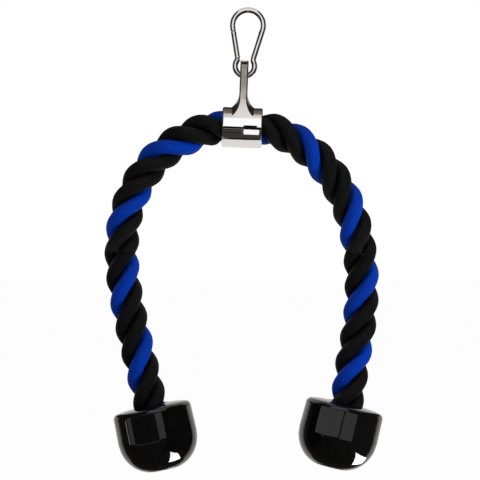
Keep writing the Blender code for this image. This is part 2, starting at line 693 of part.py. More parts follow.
def make_end_cap(side, cap_frame, finishes):
    """The moulded cap and the fittings that hold the rope's end in it, from the top down."""
    bore = ROPE_DIAMETER / 2 + FIT
    ferrule_inner = ROPE_DIAMETER / 2 - FERRULE_PINCH + FIT
    ferrule_outer = ferrule_inner + FERRULE_WALL
    chamber = ferrule_outer + FIT
    cap = turned(cap_profile(bore, chamber), CAP_SIDES, closed=True)
    piece(f"{side}_end_cap", cap, finishes["cap"], cap_frame, smooth_angle=45)
    high = -cap_step_depth() - FIT
    low = high - FERRULE_LENGTH
    profile = [(ferrule_inner, high), (ferrule_outer, high)]
    for number in range(1, FERRULE_GROOVES + 1):
        middle = high - FERRULE_LENGTH * number / (FERRULE_GROOVES + 1)
        half = FERRULE_GROOVE_WIDTH / 2
        profile += [(ferrule_outer, middle + half), (ferrule_outer - FERRULE_GROOVE, middle)]
        profile += [(ferrule_outer, middle - half)]
    profile += [(ferrule_outer, low), (ferrule_inner, low)]
    ferrule = turned(profile, FITTING_SIDES, closed=True)
    piece(f"{side}_ferrule", ferrule, finishes["zinc"], cap_frame)
    washer_high = low - FIT
    washer_low = washer_high - WASHER_THICKNESS
    shank = SCREW_SHANK_DIAMETER / 2
    washer = ring_wall(
        shank + FIT, ferrule_outer, washer_low, washer_high, FITTING_SIDES, WASHER_EDGE
    )
    piece(f"{side}_washer", washer, finishes["zinc"], cap_frame)
    head_high = washer_low - FIT
    head_low = head_high - SCREW_HEAD_HEIGHT
    head, drive = SCREW_HEAD_DIAMETER / 2, SCREW_DRIVE_DIAMETER / 2
    screw_top = low + SCREW_LENGTH
    profile = [(0, screw_top), (shank, screw_top - SCREW_POINT), (shank, head_high)]
    profile += [(head, head_high), (head, head_low + WASHER_EDGE), (head - WASHER_EDGE, head_low)]
    profile += [(drive, head_low), (drive, head_low + SCREW_DRIVE_DEPTH)]
    profile += [(0, head_low + SCREW_DRIVE_DEPTH)]
    piece(f"{side}_screw", turned(profile, PIN_SIDES), finishes["zinc"], cap_frame)
    rim, plug_high = chamber - FIT, PLUG_THICKNESS - CAP_HEIGHT
    profile = [(0, plug_high), (rim, plug_high), (rim, PLUG_EDGE - base_depth(rim))]
    flat, inner = CAP_BASE_DIAMETER / 2, rim - PLUG_EDGE
    widths = [inner + (flat - inner) * i / CAP_DOME_STEPS for i in range(CAP_DOME_STEPS + 1)]
    profile += [(width, -base_depth(width)) for width in widths] + [(0, -CAP_HEIGHT)]
    plug = turned(profile, FITTING_SIDES)
    piece(f"{side}_cap_plug", plug, finishes["plug"], cap_frame)


def main():
    clear_scene()
    steel = paint("polished_chrome", (0.83, 0.83, 0.84), 0.08, 1)
    spring_steel = paint("spring_steel", (0.45, 0.45, 0.47), 0.3, 1)
    blue = paint("blue_rope_fibre", (0.0, 0.03, 0.33), 0.75, 0)
    black = paint("black_rope_fibre", (0.012, 0.012, 0.013), 0.8, 0)
    zinc = paint("zinc_plated_steel", (0.6, 0.61, 0.63), 0.35, 1)
    gloss_black = paint("gloss_black_moulding", (0.01, 0.01, 0.01), 0.08, 0)
    plug_black = paint("black_plug_plastic", (0.015, 0.015, 0.015), 0.35, 0)
    strands = [("blue_strand", blue), ("black_strand_1", black), ("black_strand_2", black)]
    finishes = {"strands": strands, "zinc": zinc, "cap": gloss_black, "plug": plug_black}

    hook_frame = frame("hook_frame", None, (0, 0, 0), HOOK_LEAN)
    _, small, waist, _, _ = hook_marks()
    gate_frame = frame("gate_hinge", hook_frame, mirrored(waist), -side_lean())
    make_snap_hook(steel, hook_frame, gate_frame)
    make_gate(steel, spring_steel, gate_frame)

    hung = small - UP * HOOK_SMALL_EYE_RADIUS
    swing_frame = frame("bracket_swing", hook_frame, hung, BRACKET_LEAN - HOOK_LEAN)
    make_bracket(steel, swing_frame)
    mouth = SLEEVE_LENGTH / 2
    sleeve_line = [(ACROSS * end - UP * SLEEVE_DROP, ACROSS) for end in (-mouth, mouth)]
    places = places_along(sleeve_line, 0, SLEEVE_LENGTH, 1)
    placed = [(point, along, run - mouth) for point, along, run in places]
    make_strands(
        "sleeve", placed, swing_frame, strands, lambda run: SLEEVE_PINCH, lambda run: ROPE_HEART
    )

    for side, sign, route, tilt in (
        ("left", -1, LEFT_ROUTE, LEFT_CAP_TILT),
        ("right", 1, RIGHT_ROUTE, RIGHT_CAP_TILT),
    ):
        place = ACROSS * sign * mouth - UP * SLEEVE_DROP
        leg_frame = frame(f"{side}_leg_bend", swing_frame, place, -BRACKET_LEAN)
        out, down = route[-1]
        cap_frame = frame(f"{side}_cap", leg_frame, (sign * out, 0, -down), sign * tilt)
        make_leg(side, sign, route, tilt, leg_frame, finishes)
        make_end_cap(side, cap_frame, finishes)


main()
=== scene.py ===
"""Looks of a triceps rope attachment: laid rope, chromed bracket and snap hook, ball ends."""

import json
import math

import bmesh
import bpy
from mathutils import Matrix, Vector


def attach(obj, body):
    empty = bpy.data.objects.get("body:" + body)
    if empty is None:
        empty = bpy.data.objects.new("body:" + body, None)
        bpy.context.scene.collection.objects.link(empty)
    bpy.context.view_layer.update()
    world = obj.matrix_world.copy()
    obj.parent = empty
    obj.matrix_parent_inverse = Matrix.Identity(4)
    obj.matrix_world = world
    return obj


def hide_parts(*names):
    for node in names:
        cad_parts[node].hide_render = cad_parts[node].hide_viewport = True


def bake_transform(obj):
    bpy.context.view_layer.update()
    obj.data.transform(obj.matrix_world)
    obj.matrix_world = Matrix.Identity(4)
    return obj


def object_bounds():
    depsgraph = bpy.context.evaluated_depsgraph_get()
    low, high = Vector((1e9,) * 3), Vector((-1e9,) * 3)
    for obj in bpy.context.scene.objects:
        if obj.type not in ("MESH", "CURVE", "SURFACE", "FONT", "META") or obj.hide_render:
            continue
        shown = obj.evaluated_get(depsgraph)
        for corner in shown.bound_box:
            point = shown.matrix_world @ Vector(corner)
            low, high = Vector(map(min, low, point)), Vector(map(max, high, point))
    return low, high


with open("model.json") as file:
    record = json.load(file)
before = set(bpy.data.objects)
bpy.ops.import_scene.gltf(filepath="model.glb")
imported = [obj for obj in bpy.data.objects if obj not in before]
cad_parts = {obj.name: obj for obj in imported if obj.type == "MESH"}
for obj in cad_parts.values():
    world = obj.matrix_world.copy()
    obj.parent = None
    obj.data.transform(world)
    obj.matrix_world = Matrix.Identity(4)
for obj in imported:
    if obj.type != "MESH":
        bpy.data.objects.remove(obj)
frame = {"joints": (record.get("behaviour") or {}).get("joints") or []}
cad_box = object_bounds()

# Camera: level with the middle of the rope and far back with a long lens, as a catalogue picture
# is taken, so that the end caps and the hook are all seen straight from the side.

FRAME_WIDTH = 0.4008
FRAME_CENTRE = (-0.0075, -0.1901)
CAMERA_DISTANCE = 3.0
SENSOR_WIDTH = 36.0
CLIP_NEAR = 0.1
CLIP_FAR = 60

camera_data = bpy.data.cameras.new("camera")
camera_data.sensor_width = SENSOR_WIDTH
camera_data.lens = SENSOR_WIDTH * CAMERA_DISTANCE / FRAME_WIDTH
camera_data.clip_start = CLIP_NEAR
camera_data.clip_end = CLIP_FAR
camera = bpy.data.objects.new("camera", camera_data)
camera.location = (FRAME_CENTRE[0], -CAMERA_DISTANCE, FRAME_CENTRE[1])
camera.rotation_euler = (math.pi / 2, 0, 0)
bpy.context.scene.collection.objects.link(camera)
bpy.context.scene.camera = camera
bpy.context.scene.view_settings.view_transform = "Standard"

# Rope: three strands of twisted synthetic yarn, one blue and two black, laid right-handed into a
# stiff 29 mm rope. One length runs through the bracket's sleeve, where it is pinched, and down
# into both end caps, where a crimped ferrule and a screw up its heart hold it.

ROPE_DIAMETER = 0.0290
LAY_LENGTH = 0.0640
YARNS = 16
YARN_POINTS = 4
YARN_RELIEF = 0.00006
YARN_PITCH = 0.0330
STRAND_OFFSET = 0.536
STRAND_SQUARENESS = 6.0
STRAND_FULLNESS = 0.25
STRAND_GAP = 0.00016
RING_STEP = 0.0009
PINCH = 0.0009
PINCH_EASE = 0.0080
SLEEVE_LENGTH = 0.0335
ROPE_DROP = 0.0411
FERRULE_LENGTH = 0.0160
SCREW_REACH = 0.0240
SCREW_ROOM = 0.0029
LEG_LAP = 0.0020
ROUTE_SAMPLES = 12
LEAST_SLOPE = 0.001
BRACKET_LEAN = math.radians(2.2)
LEFT_CAP_TILT = math.radians(12.0)
RIGHT_CAP_TILT = math.radians(14.0)
LEFT_ROUTE = [
    (0.0000, 0.0000), (0.0120, 0.0018), (0.0220, 0.0055), (0.0306, 0.0097), (0.0385, 0.0139),
    (0.0459, 0.0190), (0.0527, 0.0248), (0.0588, 0.0312), (0.0642, 0.0381), (0.0690, 0.0456),
    (0.0731, 0.0534), (0.0766, 0.0616), (0.0794, 0.0700), (0.0815, 0.0788), (0.0829, 0.0878),
    (0.0836, 0.0970), (0.0838, 0.1063), (0.0834, 0.1156), (0.0825, 0.1251), (0.0812, 0.1346),
    (0.0796, 0.1440), (0.0778, 0.1534), (0.0759, 0.1626), (0.0739, 0.1717), (0.0718, 0.1807),
    (0.0697, 0.1894), (0.0676, 0.1979), (0.0633, 0.2160), (0.0592, 0.2340),
]
RIGHT_ROUTE = [
    (0.0000, 0.0000), (0.0120, 0.0026), (0.0210, 0.0063), (0.0288, 0.0108), (0.0361, 0.0159),
    (0.0428, 0.0214), (0.0489, 0.0276), (0.0545, 0.0343), (0.0595, 0.0413), (0.0641, 0.0486),
    (0.0681, 0.0564), (0.0716, 0.0644), (0.0746, 0.0727), (0.0772, 0.0812), (0.0792, 0.0899),
    (0.0808, 0.0987), (0.0820, 0.1077), (0.0828, 0.1168), (0.0831, 0.1259), (0.0831, 0.1351),
    (0.0828, 0.1443), (0.0821, 0.1535), (0.0811, 0.1626), (0.0798, 0.1716), (0.0783, 0.1805),
    (0.0767, 0.1892), (0.0751, 0.1978), (0.0730, 0.2145), (0.0697, 0.2311),
]
DEPTH = Vector((0, 1, 0))
UP = Vector((0, 0, 1))


def joint_place(name):
    """Where a joint of the frame is."""
    return Vector(next(joint["pos_m"] for joint in frame["joints"] if joint["name"] == name))


def eased(share):
    """Runs smoothly from 0 to 1 as share does."""
    share = min(1, max(0, share))
    return share * share * (3 - 2 * share)


def smooth_route(points, start, end):
    """A smooth curve through the points, as close (point, direction) pairs."""
    first_run, last_run = (points[1] - points[0]).length, (points[-1] - points[-2]).length
    before = points[1] - 2 * first_run * start
    after = points[-2] + 2 * last_run * end
    held = [before] + points + [after]
    fine = []
    for a, b, c, d in zip(held, held[1:], held[2:], held[3:]):
        square, cube = 2 * a - 5 * b + 4 * c - d, 3 * b - a - 3 * c + d
        for i in range(ROUTE_SAMPLES):
            t = i / ROUTE_SAMPLES
            point = b + ((c - a) * t + square * t**2 + cube * t**3) / 2
            slope = c - a + 2 * square * t + 3 * cube * t**2
            fine.append((point, slope.normalized()))
    return fine + [(points[-1], end)]


def places_along(line, first, last):
    """Evenly spaced (point, direction, run) places from first to last metres along a line."""
    runs = [0]
    for near, far in zip(line, line[1:]):
        runs.append(runs[-1] + (far[0] - near[0]).length)
    count = math.ceil((last - first) / RING_STEP)
    places, at = [], 0
    for i in range(count + 1):
        run = first + (last - first) * i / count
        while at < len(runs) - 2 and runs[at + 1] < run:
            at += 1
        share = (run - runs[at]) / (runs[at + 1] - runs[at])
        (near, near_way), (far, far_way) = line[at], line[at + 1]
        places.append((near.lerp(far, share), near_way.lerp(far_way, share).normalized(), run))
    return places


def strand_reach(angle, radius, centre, opened):
    """How far a strand's surface is from its middle: round, a little filled out in its wedge."""
    wedge = math.pi / 3
    slope = math.cos(wedge) * abs(math.sin(angle)) - math.sin(wedge) * math.cos(angle)
    side = (math.sin(wedge) * centre - STRAND_GAP / 2) / slope if slope > LEAST_SLOPE else math.inf
    off = centre * math.sin(angle)
    outside = math.sqrt(radius * radius - off * off) - centre * math.cos(angle)
    inside = math.inf
    if math.cos(angle) < 0 and abs(off) < opened:
        inside = -centre * math.cos(angle) - math.sqrt(opened * opened - off * off)
    crowding = sum(limit**-STRAND_SQUARENESS for limit in (side, outside, inside))
    packed = crowding ** (-1 / STRAND_SQUARENESS)
    lobe = radius - centre - STRAND_GAP / 2
    return lobe + STRAND_FULLNESS * (packed - lobe) if packed > lobe else packed


def lay_strand(bm, places, number, squeezed, opened):
    """Adds one strand to a rope's mesh: a tube of yarns that winds round the rope's centreline."""
    uv = bm.loops.layers.uv["strand"]
    around = YARNS * YARN_POINTS
    fibre = min(number, 1)
    rings = []
    for point, along, distance in places:
        turn = math.tau * (distance / LAY_LENGTH + number / 3)
        outward = along.cross(DEPTH)
        face = -DEPTH * math.cos(turn) - outward * math.sin(turn)
        flank = DEPTH * math.sin(turn) - outward * math.cos(turn)
        radius = ROPE_DIAMETER / 2 - squeezed(distance)
        middle = radius * STRAND_OFFSET
        centre = point + face * middle
        ring = []
        for k in range(around):
            angle = math.tau * (k / around - distance / YARN_PITCH)
            groove = YARN_RELIEF * (1 - abs(math.cos(math.pi * k / YARN_POINTS)))
            reach = strand_reach(angle, radius, middle, opened(distance)) - groove
            way = math.cos(angle) * face + math.sin(angle) * flank
            ring.append(bm.verts.new(centre + reach * way))
        rings.append(ring)
    for (near, far), (low, high) in zip(zip(rings, rings[1:]), zip(places, places[1:])):
        for k in range(around):
            j = (k + 1) % around
            made = bm.faces.new((near[k], near[j], far[j], far[k]))
            made.material_index = fibre
            corners = ((low, k), (low, k + 1), (high, k + 1), (high, k))
            for loop, (place, step) in zip(made.loops, corners):
                loop[uv].uv = (place[2], step / around)
    for ring in (rings[0], rings[-1]):
        bm.faces.new(ring).material_index = fibre


def rope_piece(name, places, squeezed, opened):
    """A stretch of the rope as one mesh of three strands."""
    bm = bmesh.new()
    bm.loops.layers.uv.new("strand")
    for number in range(3):
        lay_strand(bm, places, number, squeezed, opened)
    return finished(name, bm, [blue_fibre, black_fibre])


def new_object(name, bm):
    """Turns a bmesh into an object, as a tool or as a piece that is still to be finished."""
    mesh = bpy.data.meshes.new(name)
    bm.to_mesh(mesh)
    bm.free()
    made = bpy.data.objects.new(name, mesh)
    bpy.context.scene.collection.objects.link(made)
    return made


def smoothed(piece, materials, sharp_angle=None):
    """Shades a piece smooth, but for edges over an angle in degrees, and gives it its materials."""
    piece.data.shade_smooth()
    if sharp_angle is not None:
        piece.data.set_sharp_from_angle(angle=math.radians(sharp_angle))
    for material in materials:
        piece.data.materials.append(material)
    return piece


def finished(name, bm, materials, sharp_angle=None):
    """Turns a bmesh into a piece of the scene, with its faces outwards and shaded smooth."""
    bmesh.ops.recalc_face_normals(bm, faces=bm.faces)
    return smoothed(new_object(name, bm), materials, sharp_angle)


def fitted(piece, replaced, body):
    """Puts a piece in the place of its solids and on their body."""
    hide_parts(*replaced)
    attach(piece, body)


def new_material(name, roughness, metallic=0.0):
    """A material, its node tree and its one Principled shader."""
    material = bpy.data.materials.new(name)
    material.use_nodes = True
    shader = material.node_tree.nodes["Principled BSDF"]
    shader.inputs["Roughness"].default_value = roughness
    shader.inputs["Metallic"].default_value = metallic
    return material, material.node_tree, shader


def feed(tree, socket, value):
    """Sets a socket from a value or from another socket."""
    if isinstance(value, bpy.types.NodeSocket):
        tree.links.new(value, socket)
    else:
        socket.default_value = value


def node(tree, kind, group=None, **inputs):
    """Adds a node, or places a node group, and sets its inputs by name."""
    made = tree.nodes.new(kind)
    if group is not None:
        made.node_tree = group
    for name, value in inputs.items():
        feed(tree, made.inputs[name.replace("_", " ")], value)
    return made


def maths(tree, operation, first, second=0.0):
    """The result of an operation on two values."""
    made = tree.nodes.new("ShaderNodeMath")
    made.operation = operation
    feed(tree, made.inputs[0], first)
    feed(tree, made.inputs[1], second)
    return made.outputs[0]


def mixed(tree, factor, first, second):
    """One colour mixed with another."""
    made = tree.nodes.new("ShaderNodeMix")
    made.data_type = "RGBA"
    for socket, value in (("Factor", factor), (6, first), (7, second)):
        feed(tree, made.inputs[socket], value)
    return made.outputs[2]


def ranged(tree, value, low, high, to_low=0.0, to_high=1.0):
    """A value's range mapped smoothly onto another."""
    made = node(
        tree, "ShaderNodeMapRange", Value=value, From_Min=low, From_Max=high, To_Min=to_low,
        To_Max=to_high,
    )
    made.interpolation_type = "SMOOTHSTEP"
    return made.outputs["Result"]


def scaled(tree, vector, scale):
    """Coordinates stretched by a factor a side."""
    return node(tree, "ShaderNodeMapping", Vector=vector, Scale=scale).outputs["Vector"]


def noise(tree, vector, scale, detail):
    """Cloudy noise at a scale, with more fine noise in it as detail grows."""
    made = node(tree, "ShaderNodeTexNoise", Vector=vector, Scale=scale, Detail=detail)
    return made.outputs["Fac"]


def grey(level):
    """A colour without a hue."""
    return (level, level, level, 1)


def effect_group(name, outputs, **inputs):
    """A new node group: its tree, the sockets that its inputs come from, and its output node."""
    group = bpy.data.node_groups.new(name, "ShaderNodeTree")
    kinds = {3: "NodeSocketVector", 4: "NodeSocketColor"}
    for socket, default in inputs.items():
        kind = "NodeSocketFloat" if isinstance(default, float) else kinds[len(default)]
        made = group.interface.new_socket(socket, in_out="INPUT", socket_type=kind)
        made.default_value = default
    for socket in outputs:
        kind = "NodeSocketColor" if socket == "Color" else "NodeSocketFloat"
        group.interface.new_socket(socket, in_out="OUTPUT", socket_type=kind)
    source = group.nodes.new("NodeGroupInput")
    sink = group.nodes.new("NodeGroupOutput")
    return group, source.outputs, sink


def put_out(group, sink, **results):
    """Links a group's results to its outputs, and gives the group back."""
    for name, result in results.items():
        group.links.new(result, sink.inputs[name])
    return group


def skinned(tree, shader, skin, relief):
    """Gives a shader the colour, the roughness and the relief, in metres, that a group puts out."""
    if "Color" in skin.outputs:
        tree.links.new(skin.outputs["Color"], shader.inputs["Base Color"])
    tree.links.new(skin.outputs["Roughness"], shader.inputs["Roughness"])
    height = skin.outputs["Height"]
    bump = node(tree, "ShaderNodeBump", Strength=1.0, Distance=relief, Height=height)
    tree.links.new(bump.outputs["Normal"], shader.inputs["Normal"])


SKIN = ("Color", "Roughness", "Height")
FILAMENTS_PER_YARN = 7
FILAMENT_SLANT = 320.0

# A noise is given by its scale and its detail. A mapping is given by the two ends of a value and,
# where these don't become 0 and 1, by what they become.
YARN_GROOVE_SHADE = (0.02, 0.3, 0.72, 1.0)
FLECK_STRETCH = (160.0, 2.0 * YARNS, 1.0)
FLECK_NOISE = (2.0, 4.0)
FLECK_SHADE = (0.25, 0.75, 0.72, 1.0)
FLECK_ROUGHNESS = (0.3, 0.7, 0.55, 0.72)
FLECK_SHARE = 0.7
RIB_SHARE = 0.5
FIBRE_RELIEF = 0.00006
FIBRE_ROUGHNESS = 0.62
FIBRE_SPECULAR = 0.09
FIBRE_SHEEN_ROUGHNESS = 0.35
# The groove colours are painted shade between the yarns; the crown colours are the fibres' own.
BLUE_CROWN = (0.0, 0.048, 0.49, 1)
BLUE_GROOVE_SHADE = (0.0, 0.014, 0.17, 1)
BLUE_SHEEN = (0.0, 0.35, 1, 1)
BLACK_CROWN = grey(0.0085)
BLACK_GROOVE_SHADE = grey(0.003)
WHITE = grey(1)


def yarn_group():
    """Yarns along a strand: painted shade between them, flecked and ribbed by their filaments."""
    group, given, sink = effect_group(
        "laid_yarns", SKIN, Strand=(0, 0, 0), Crown=grey(0), Groove=grey(0)
    )
    split = node(group, "ShaderNodeSeparateXYZ", Vector=given["Strand"])
    across = maths(group, "MULTIPLY", split.outputs["Y"], float(YARNS))
    # Painted shade: the colour darkens from each yarn's crown towards the groove beside it.
    crown = ranged(group, maths(group, "PINGPONG", across, 0.5), *YARN_GROOVE_SHADE)
    slanted = maths(group, "MULTIPLY", split.outputs["X"], FILAMENT_SLANT)
    filaments = maths(group, "MULTIPLY", across, float(FILAMENTS_PER_YARN))
    rib = maths(group, "PINGPONG", maths(group, "ADD", filaments, slanted), 0.5)
    fleck = noise(group, scaled(group, given["Strand"], FLECK_STRETCH), *FLECK_NOISE)
    shade = maths(group, "MULTIPLY", crown, ranged(group, fleck, *FLECK_SHADE))
    ribs = maths(group, "MULTIPLY", rib, RIB_SHARE)
    flecks = maths(group, "MULTIPLY", fleck, FLECK_SHARE)
    return put_out(
        group, sink,
        Color=mixed(group, shade, given["Groove"], given["Crown"]),
        Roughness=ranged(group, fleck, *FLECK_ROUGHNESS),
        Height=maths(group, "ADD", ribs, flecks),
    )


def rope_fibre(name, crown, groove, sheen_tint, sheen):
    """Synthetic fibre: satin, with a soft glow where light grazes its filaments."""
    material, tree, shader = new_material(name, FIBRE_ROUGHNESS)
    strand = tree.nodes.new("ShaderNodeUVMap")
    strand.uv_map = "strand"
    place = strand.outputs["UV"]
    yarns = node(tree, "ShaderNodeGroup", laid_yarns, Strand=place, Crown=crown, Groove=groove)
    skinned(tree, shader, yarns, FIBRE_RELIEF)
    shader.inputs["Specular IOR Level"].default_value = FIBRE_SPECULAR
    shader.inputs["Sheen Weight"].default_value = sheen
    shader.inputs["Sheen Roughness"].default_value = FIBRE_SHEEN_ROUGHNESS
    shader.inputs["Sheen Tint"].default_value = sheen_tint
    return material


laid_yarns = yarn_group()
blue_fibre = rope_fibre("blue_fibre", BLUE_CROWN, BLUE_GROOVE_SHADE, BLUE_SHEEN, sheen=0.05)
black_fibre = rope_fibre("black_fibre", BLACK_CROWN, BLACK_GROOVE_SHADE, WHITE, sheen=0.015)


def heart_room(distance, end):
    """Room round the rope's centreline, opened by the screw at the end of a leg."""
    return SCREW_ROOM * (1 - eased((end - abs(distance) - SCREW_REACH) / PINCH_EASE))


def make_leg(side, sign, route, tilt):
    """One leg of the rope, from inside the sleeve's mouth to the ferrule in its cap."""
    mouth = joint_place(f"{side}_leg_bend")
    points = [mouth + Vector((sign * out, 0, -down)) for out, down in route]
    start = Vector((sign * math.cos(BRACKET_LEAN), 0, -sign * math.sin(BRACKET_LEAN)))
    end = Vector((-sign * math.sin(tilt), 0, -math.cos(tilt)))
    line = smooth_route(points, start, end)
    line.append((points[-1] + end * ROPE_DROP, end))
    whole = sum((far[0] - near[0]).length for near, far in zip(line, line[1:]))
    half = SLEEVE_LENGTH / 2
    line.insert(0, (mouth - start * LEG_LAP, start))

    def squeezed(distance):
        run = abs(distance) - half
        crimped = 1 - eased((whole - run - FERRULE_LENGTH) / PINCH_EASE)
        return PINCH * (1 - eased(run / PINCH_EASE)) + PINCH * crimped

    def opened(distance):
        return heart_room(abs(distance), half + whole)

    places = places_along(line, 0, whole + LEG_LAP)
    held = [(point, way * sign, sign * (half + run - LEG_LAP)) for point, way, run in places]
    leg = rope_piece(f"{side}_rope", held[::sign], squeezed, opened)
    stretches = [f"{side}_{part}_{colour}" for part in ("bend", "grip") for colour in STRANDS]
    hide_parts(*stretches)
    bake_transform(leg)


STRANDS = ("blue_strand", "black_strand_1", "black_strand_2")
make_leg("left", -1, LEFT_ROUTE, LEFT_CAP_TILT)
make_leg("right", 1, RIGHT_ROUTE, RIGHT_CAP_TILT)

left_mouth, right_mouth = joint_place("left_leg_bend"), joint_place("right_leg_bend")
sleeve_middle = (left_mouth + right_mouth) / 2
sleeve_way = (right_mouth - left_mouth).normalized()
inside = SLEEVE_LENGTH / 2 - LEG_LAP
sleeve_ends = [(sleeve_middle + sleeve_way * run, sleeve_way) for run in (-inside, inside)]
sleeve_places = [
    (point, way, run - inside) for point, way, run in places_along(sleeve_ends, 0, 2 * inside)
]
sleeve_rope = rope_piece("sleeve_rope", sleeve_places, lambda run: PINCH, lambda run: 0.0)
fitted(sleeve_rope, [f"sleeve_{colour}" for colour in STRANDS], "bracket")

# Bracket: one steel casting, chromed. Its buffed sleeve is pressed onto the rope, and a flat tongue
# flares out of it and hangs by a round-lipped eye in the snap hook. From the sleeve's top up the
# flare into the tongue the chrome is rougher, and painted shade makes it darker and warmer. Faces
# turned sideways there are rougher still, under a grainy brown painted reflection.

SLEEVE_DIAMETER = 0.0335
SLEEVE_EDGE = 0.0012
SLEEVE_DROP = 0.0432
SLEEVE_SIDES = 128
TONGUE_HALF_THICKNESS = 0.00345
TONGUE_WIDTH = 0.0254
TONGUE_TOP = 0.01315
TONGUE_EDGE = 0.0016
FLARE_START = 0.0136
FLARE_HEIGHT = 0.0144
FLARE_REACH = 0.0112
FLARE_EDGE_GROWTH_SHARE = 0.1
WEB_SPREAD = 0.0028
WEB_FOOT = 0.0050
WEB_SIDE_CUTS = 15
WEB_LEVELS = 24
FLARE_LEVELS = 20
WEB_CORNER_CUTS = 7
WEB_CORNER_LIMIT = 0.98
FIT = 0.0003
EYE_DIAMETER = 0.0105
EYE_RIM_RADIUS = 0.0022
EYE_DROP = 0.0028
BORE_RADIUS = 0.0139
EDGE_CUTS = 8
EYE_LIP_CUTS = 10
CAST_GRAIN = 0.00032
SNAP_REACH = CAST_GRAIN / 3
CAST_SMOOTHING = 0.5
CAST_SMOOTHING_PASSES = 6
# Faces turned sideways between these heights get a brown painted reflection and more roughness.
SIDE_SHADE_FACING = 0.70
SIDE_SHADE_FACING_FADE = 0.12
SIDE_SHADE_LOW = 0.0098
SIDE_SHADE_LOW_FADE = 0.0012
SIDE_SHADE_TOP = 0.0200
SIDE_SHADE_TOP_FADE = 0.0060
CUT_OVERRUN = 0.002
MERGE = 0.00001
LEVEL_SLACK = MERGE / 10


def outline_spin(bm, profile, axis, steps):
    """Turns a profile about an axis through the origin, and merges what meets on the axis."""
    line = [bm.verts.new(point) for point in profile]
    edges = [bm.edges.new(pair) for pair in zip(line, line[1:])]
    bmesh.ops.spin(
        bm, geom=line + edges, cent=(0, 0, 0), axis=axis, angle=math.tau, steps=steps,
        use_merge=True,
    )
    bmesh.ops.remove_doubles(bm, verts=bm.verts, dist=MERGE)
    bmesh.ops.recalc_face_normals(bm, faces=bm.faces)


def quarter(steps):
    """Angles from 0 to a right angle."""
    return [math.pi / 2 * i / steps for i in range(steps + 1)]


def rounded_loop(bm, half_x, half_y, corner, height):
    """A level rectangle with round corners, as a loop of edges."""
    corners = bmesh.ops.create_grid(bm, x_segments=1, y_segments=1, size=1)["verts"]
    bmesh.ops.scale(bm, vec=(half_x, half_y, 1), verts=corners)
    bmesh.ops.translate(bm, vec=UP * height, verts=corners)
    corner = min(corner, half_x * WEB_CORNER_LIMIT, half_y * WEB_CORNER_LIMIT)
    bmesh.ops.bevel(
        bm, geom=corners, offset=corner, offset_type="OFFSET", segments=WEB_CORNER_CUTS,
        profile=0.5, affect="VERTICES", material=-1,
    )
    sheet = [f for f in bm.faces if all(abs(v.co.z - height) < LEVEL_SLACK for v in f.verts)]
    kept = list(sheet[0].edges)
    bmesh.ops.delete(bm, geom=sheet, context="FACES_ONLY")
    sides = [e for e in kept if all(abs(abs(v.co.x) - half_x) < LEVEL_SLACK for v in e.verts)]
    cut = bmesh.ops.subdivide_edges(bm, edges=sides, cuts=WEB_SIDE_CUTS)["geom_split"]
    return kept + [e for e in cut if isinstance(e, bmesh.types.BMEdge) and e not in kept]


def follow_sleeve(loop, lowest):
    """Lowers a loop as the round sleeve falls away from its top, no further than lowest."""
    radius = SLEEVE_DIAMETER / 2
    for vert in {vert for edge in loop for vert in edge.verts}:
        fall = radius - math.sqrt(max(0, radius * radius - vert.co.y * vert.co.y))
        vert.co.z = max(lowest, vert.co.z - fall)


def web_levels():
    """Half width, half depth, corner and height of the tongue and its flare, from the top down.

    The flare is a fillet between the flat tongue and the round sleeve, so its loops are lowered.
    """
    half_x, half_y = TONGUE_HALF_THICKNESS, TONGUE_WIDTH / 2
    foot = WEB_FOOT - SLEEVE_DROP
    limit = SLEEVE_LENGTH / 2 - SLEEVE_EDGE
    levels = []
    for turn in quarter(WEB_LEVELS)[1:]:
        height = TONGUE_TOP - half_y + half_y * math.cos(turn)
        levels.append((half_x, half_y * math.sin(turn), TONGUE_EDGE, height))
    for turn in quarter(FLARE_LEVELS):
        height = -FLARE_START - FLARE_HEIGHT * math.sin(turn)
        grown = min(FLARE_REACH * (1 - math.cos(turn)), limit - half_x)
        spread = WEB_SPREAD * eased((-FLARE_START - height) / (-FLARE_START - foot))
        corner = TONGUE_EDGE + FLARE_EDGE_GROWTH_SHARE * grown
        levels.append((half_x + grown, half_y + spread, corner, height))
    levels.append((half_x + grown, half_y + WEB_SPREAD, corner, foot))
    return levels


def applied(target):
    """The target with its modifiers worked into its mesh."""
    graph = bpy.context.evaluated_depsgraph_get()
    mesh = bpy.data.meshes.new_from_object(target.evaluated_get(graph))
    target.modifiers.clear()
    target.data = mesh
    return target


def combined(target, tool, operation):
    """Joins a tool to the target or cuts it away, and removes the tool."""
    modifier = target.modifiers.new(operation, "BOOLEAN")
    modifier.operation = operation
    modifier.solver = "EXACT"
    modifier.object = tool
    applied(target)
    bpy.data.objects.remove(tool)
    return target


def turned_across(name, profile, drop, sides):
    """A solid turned about X from (x, radius) points, at a depth below the bracket's hinge."""
    bm = bmesh.new()
    outline_spin(bm, [(x, 0, radius) for x, radius in profile], (1, 0, 0), sides)
    bmesh.ops.translate(bm, vec=UP * -drop, verts=bm.verts)
    return new_object(name, bm)


def make_barrel():
    """The sleeve's solid barrel."""
    outer, half, edge = SLEEVE_DIAMETER / 2, SLEEVE_LENGTH / 2, SLEEVE_EDGE
    arc = [(edge * math.sin(a), edge * math.cos(a)) for a in quarter(EDGE_CUTS)]
    low = [(-half + edge - z, outer - edge + x) for x, z in arc]
    high = [(half - edge + z, outer - edge + x) for x, z in reversed(arc)]
    profile = [(-half, 0)] + low + high + [(half, 0)]
    return turned_across("bracket_casting", profile, SLEEVE_DROP, SLEEVE_SIDES)


def make_bore():
    """The cutter of the sleeve's bore."""
    reach = SLEEVE_LENGTH / 2 + CUT_OVERRUN
    profile = [(-reach, 0), (-reach, BORE_RADIUS), (reach, BORE_RADIUS), (reach, 0)]
    return turned_across("bore", profile, SLEEVE_DROP, SLEEVE_SIDES)


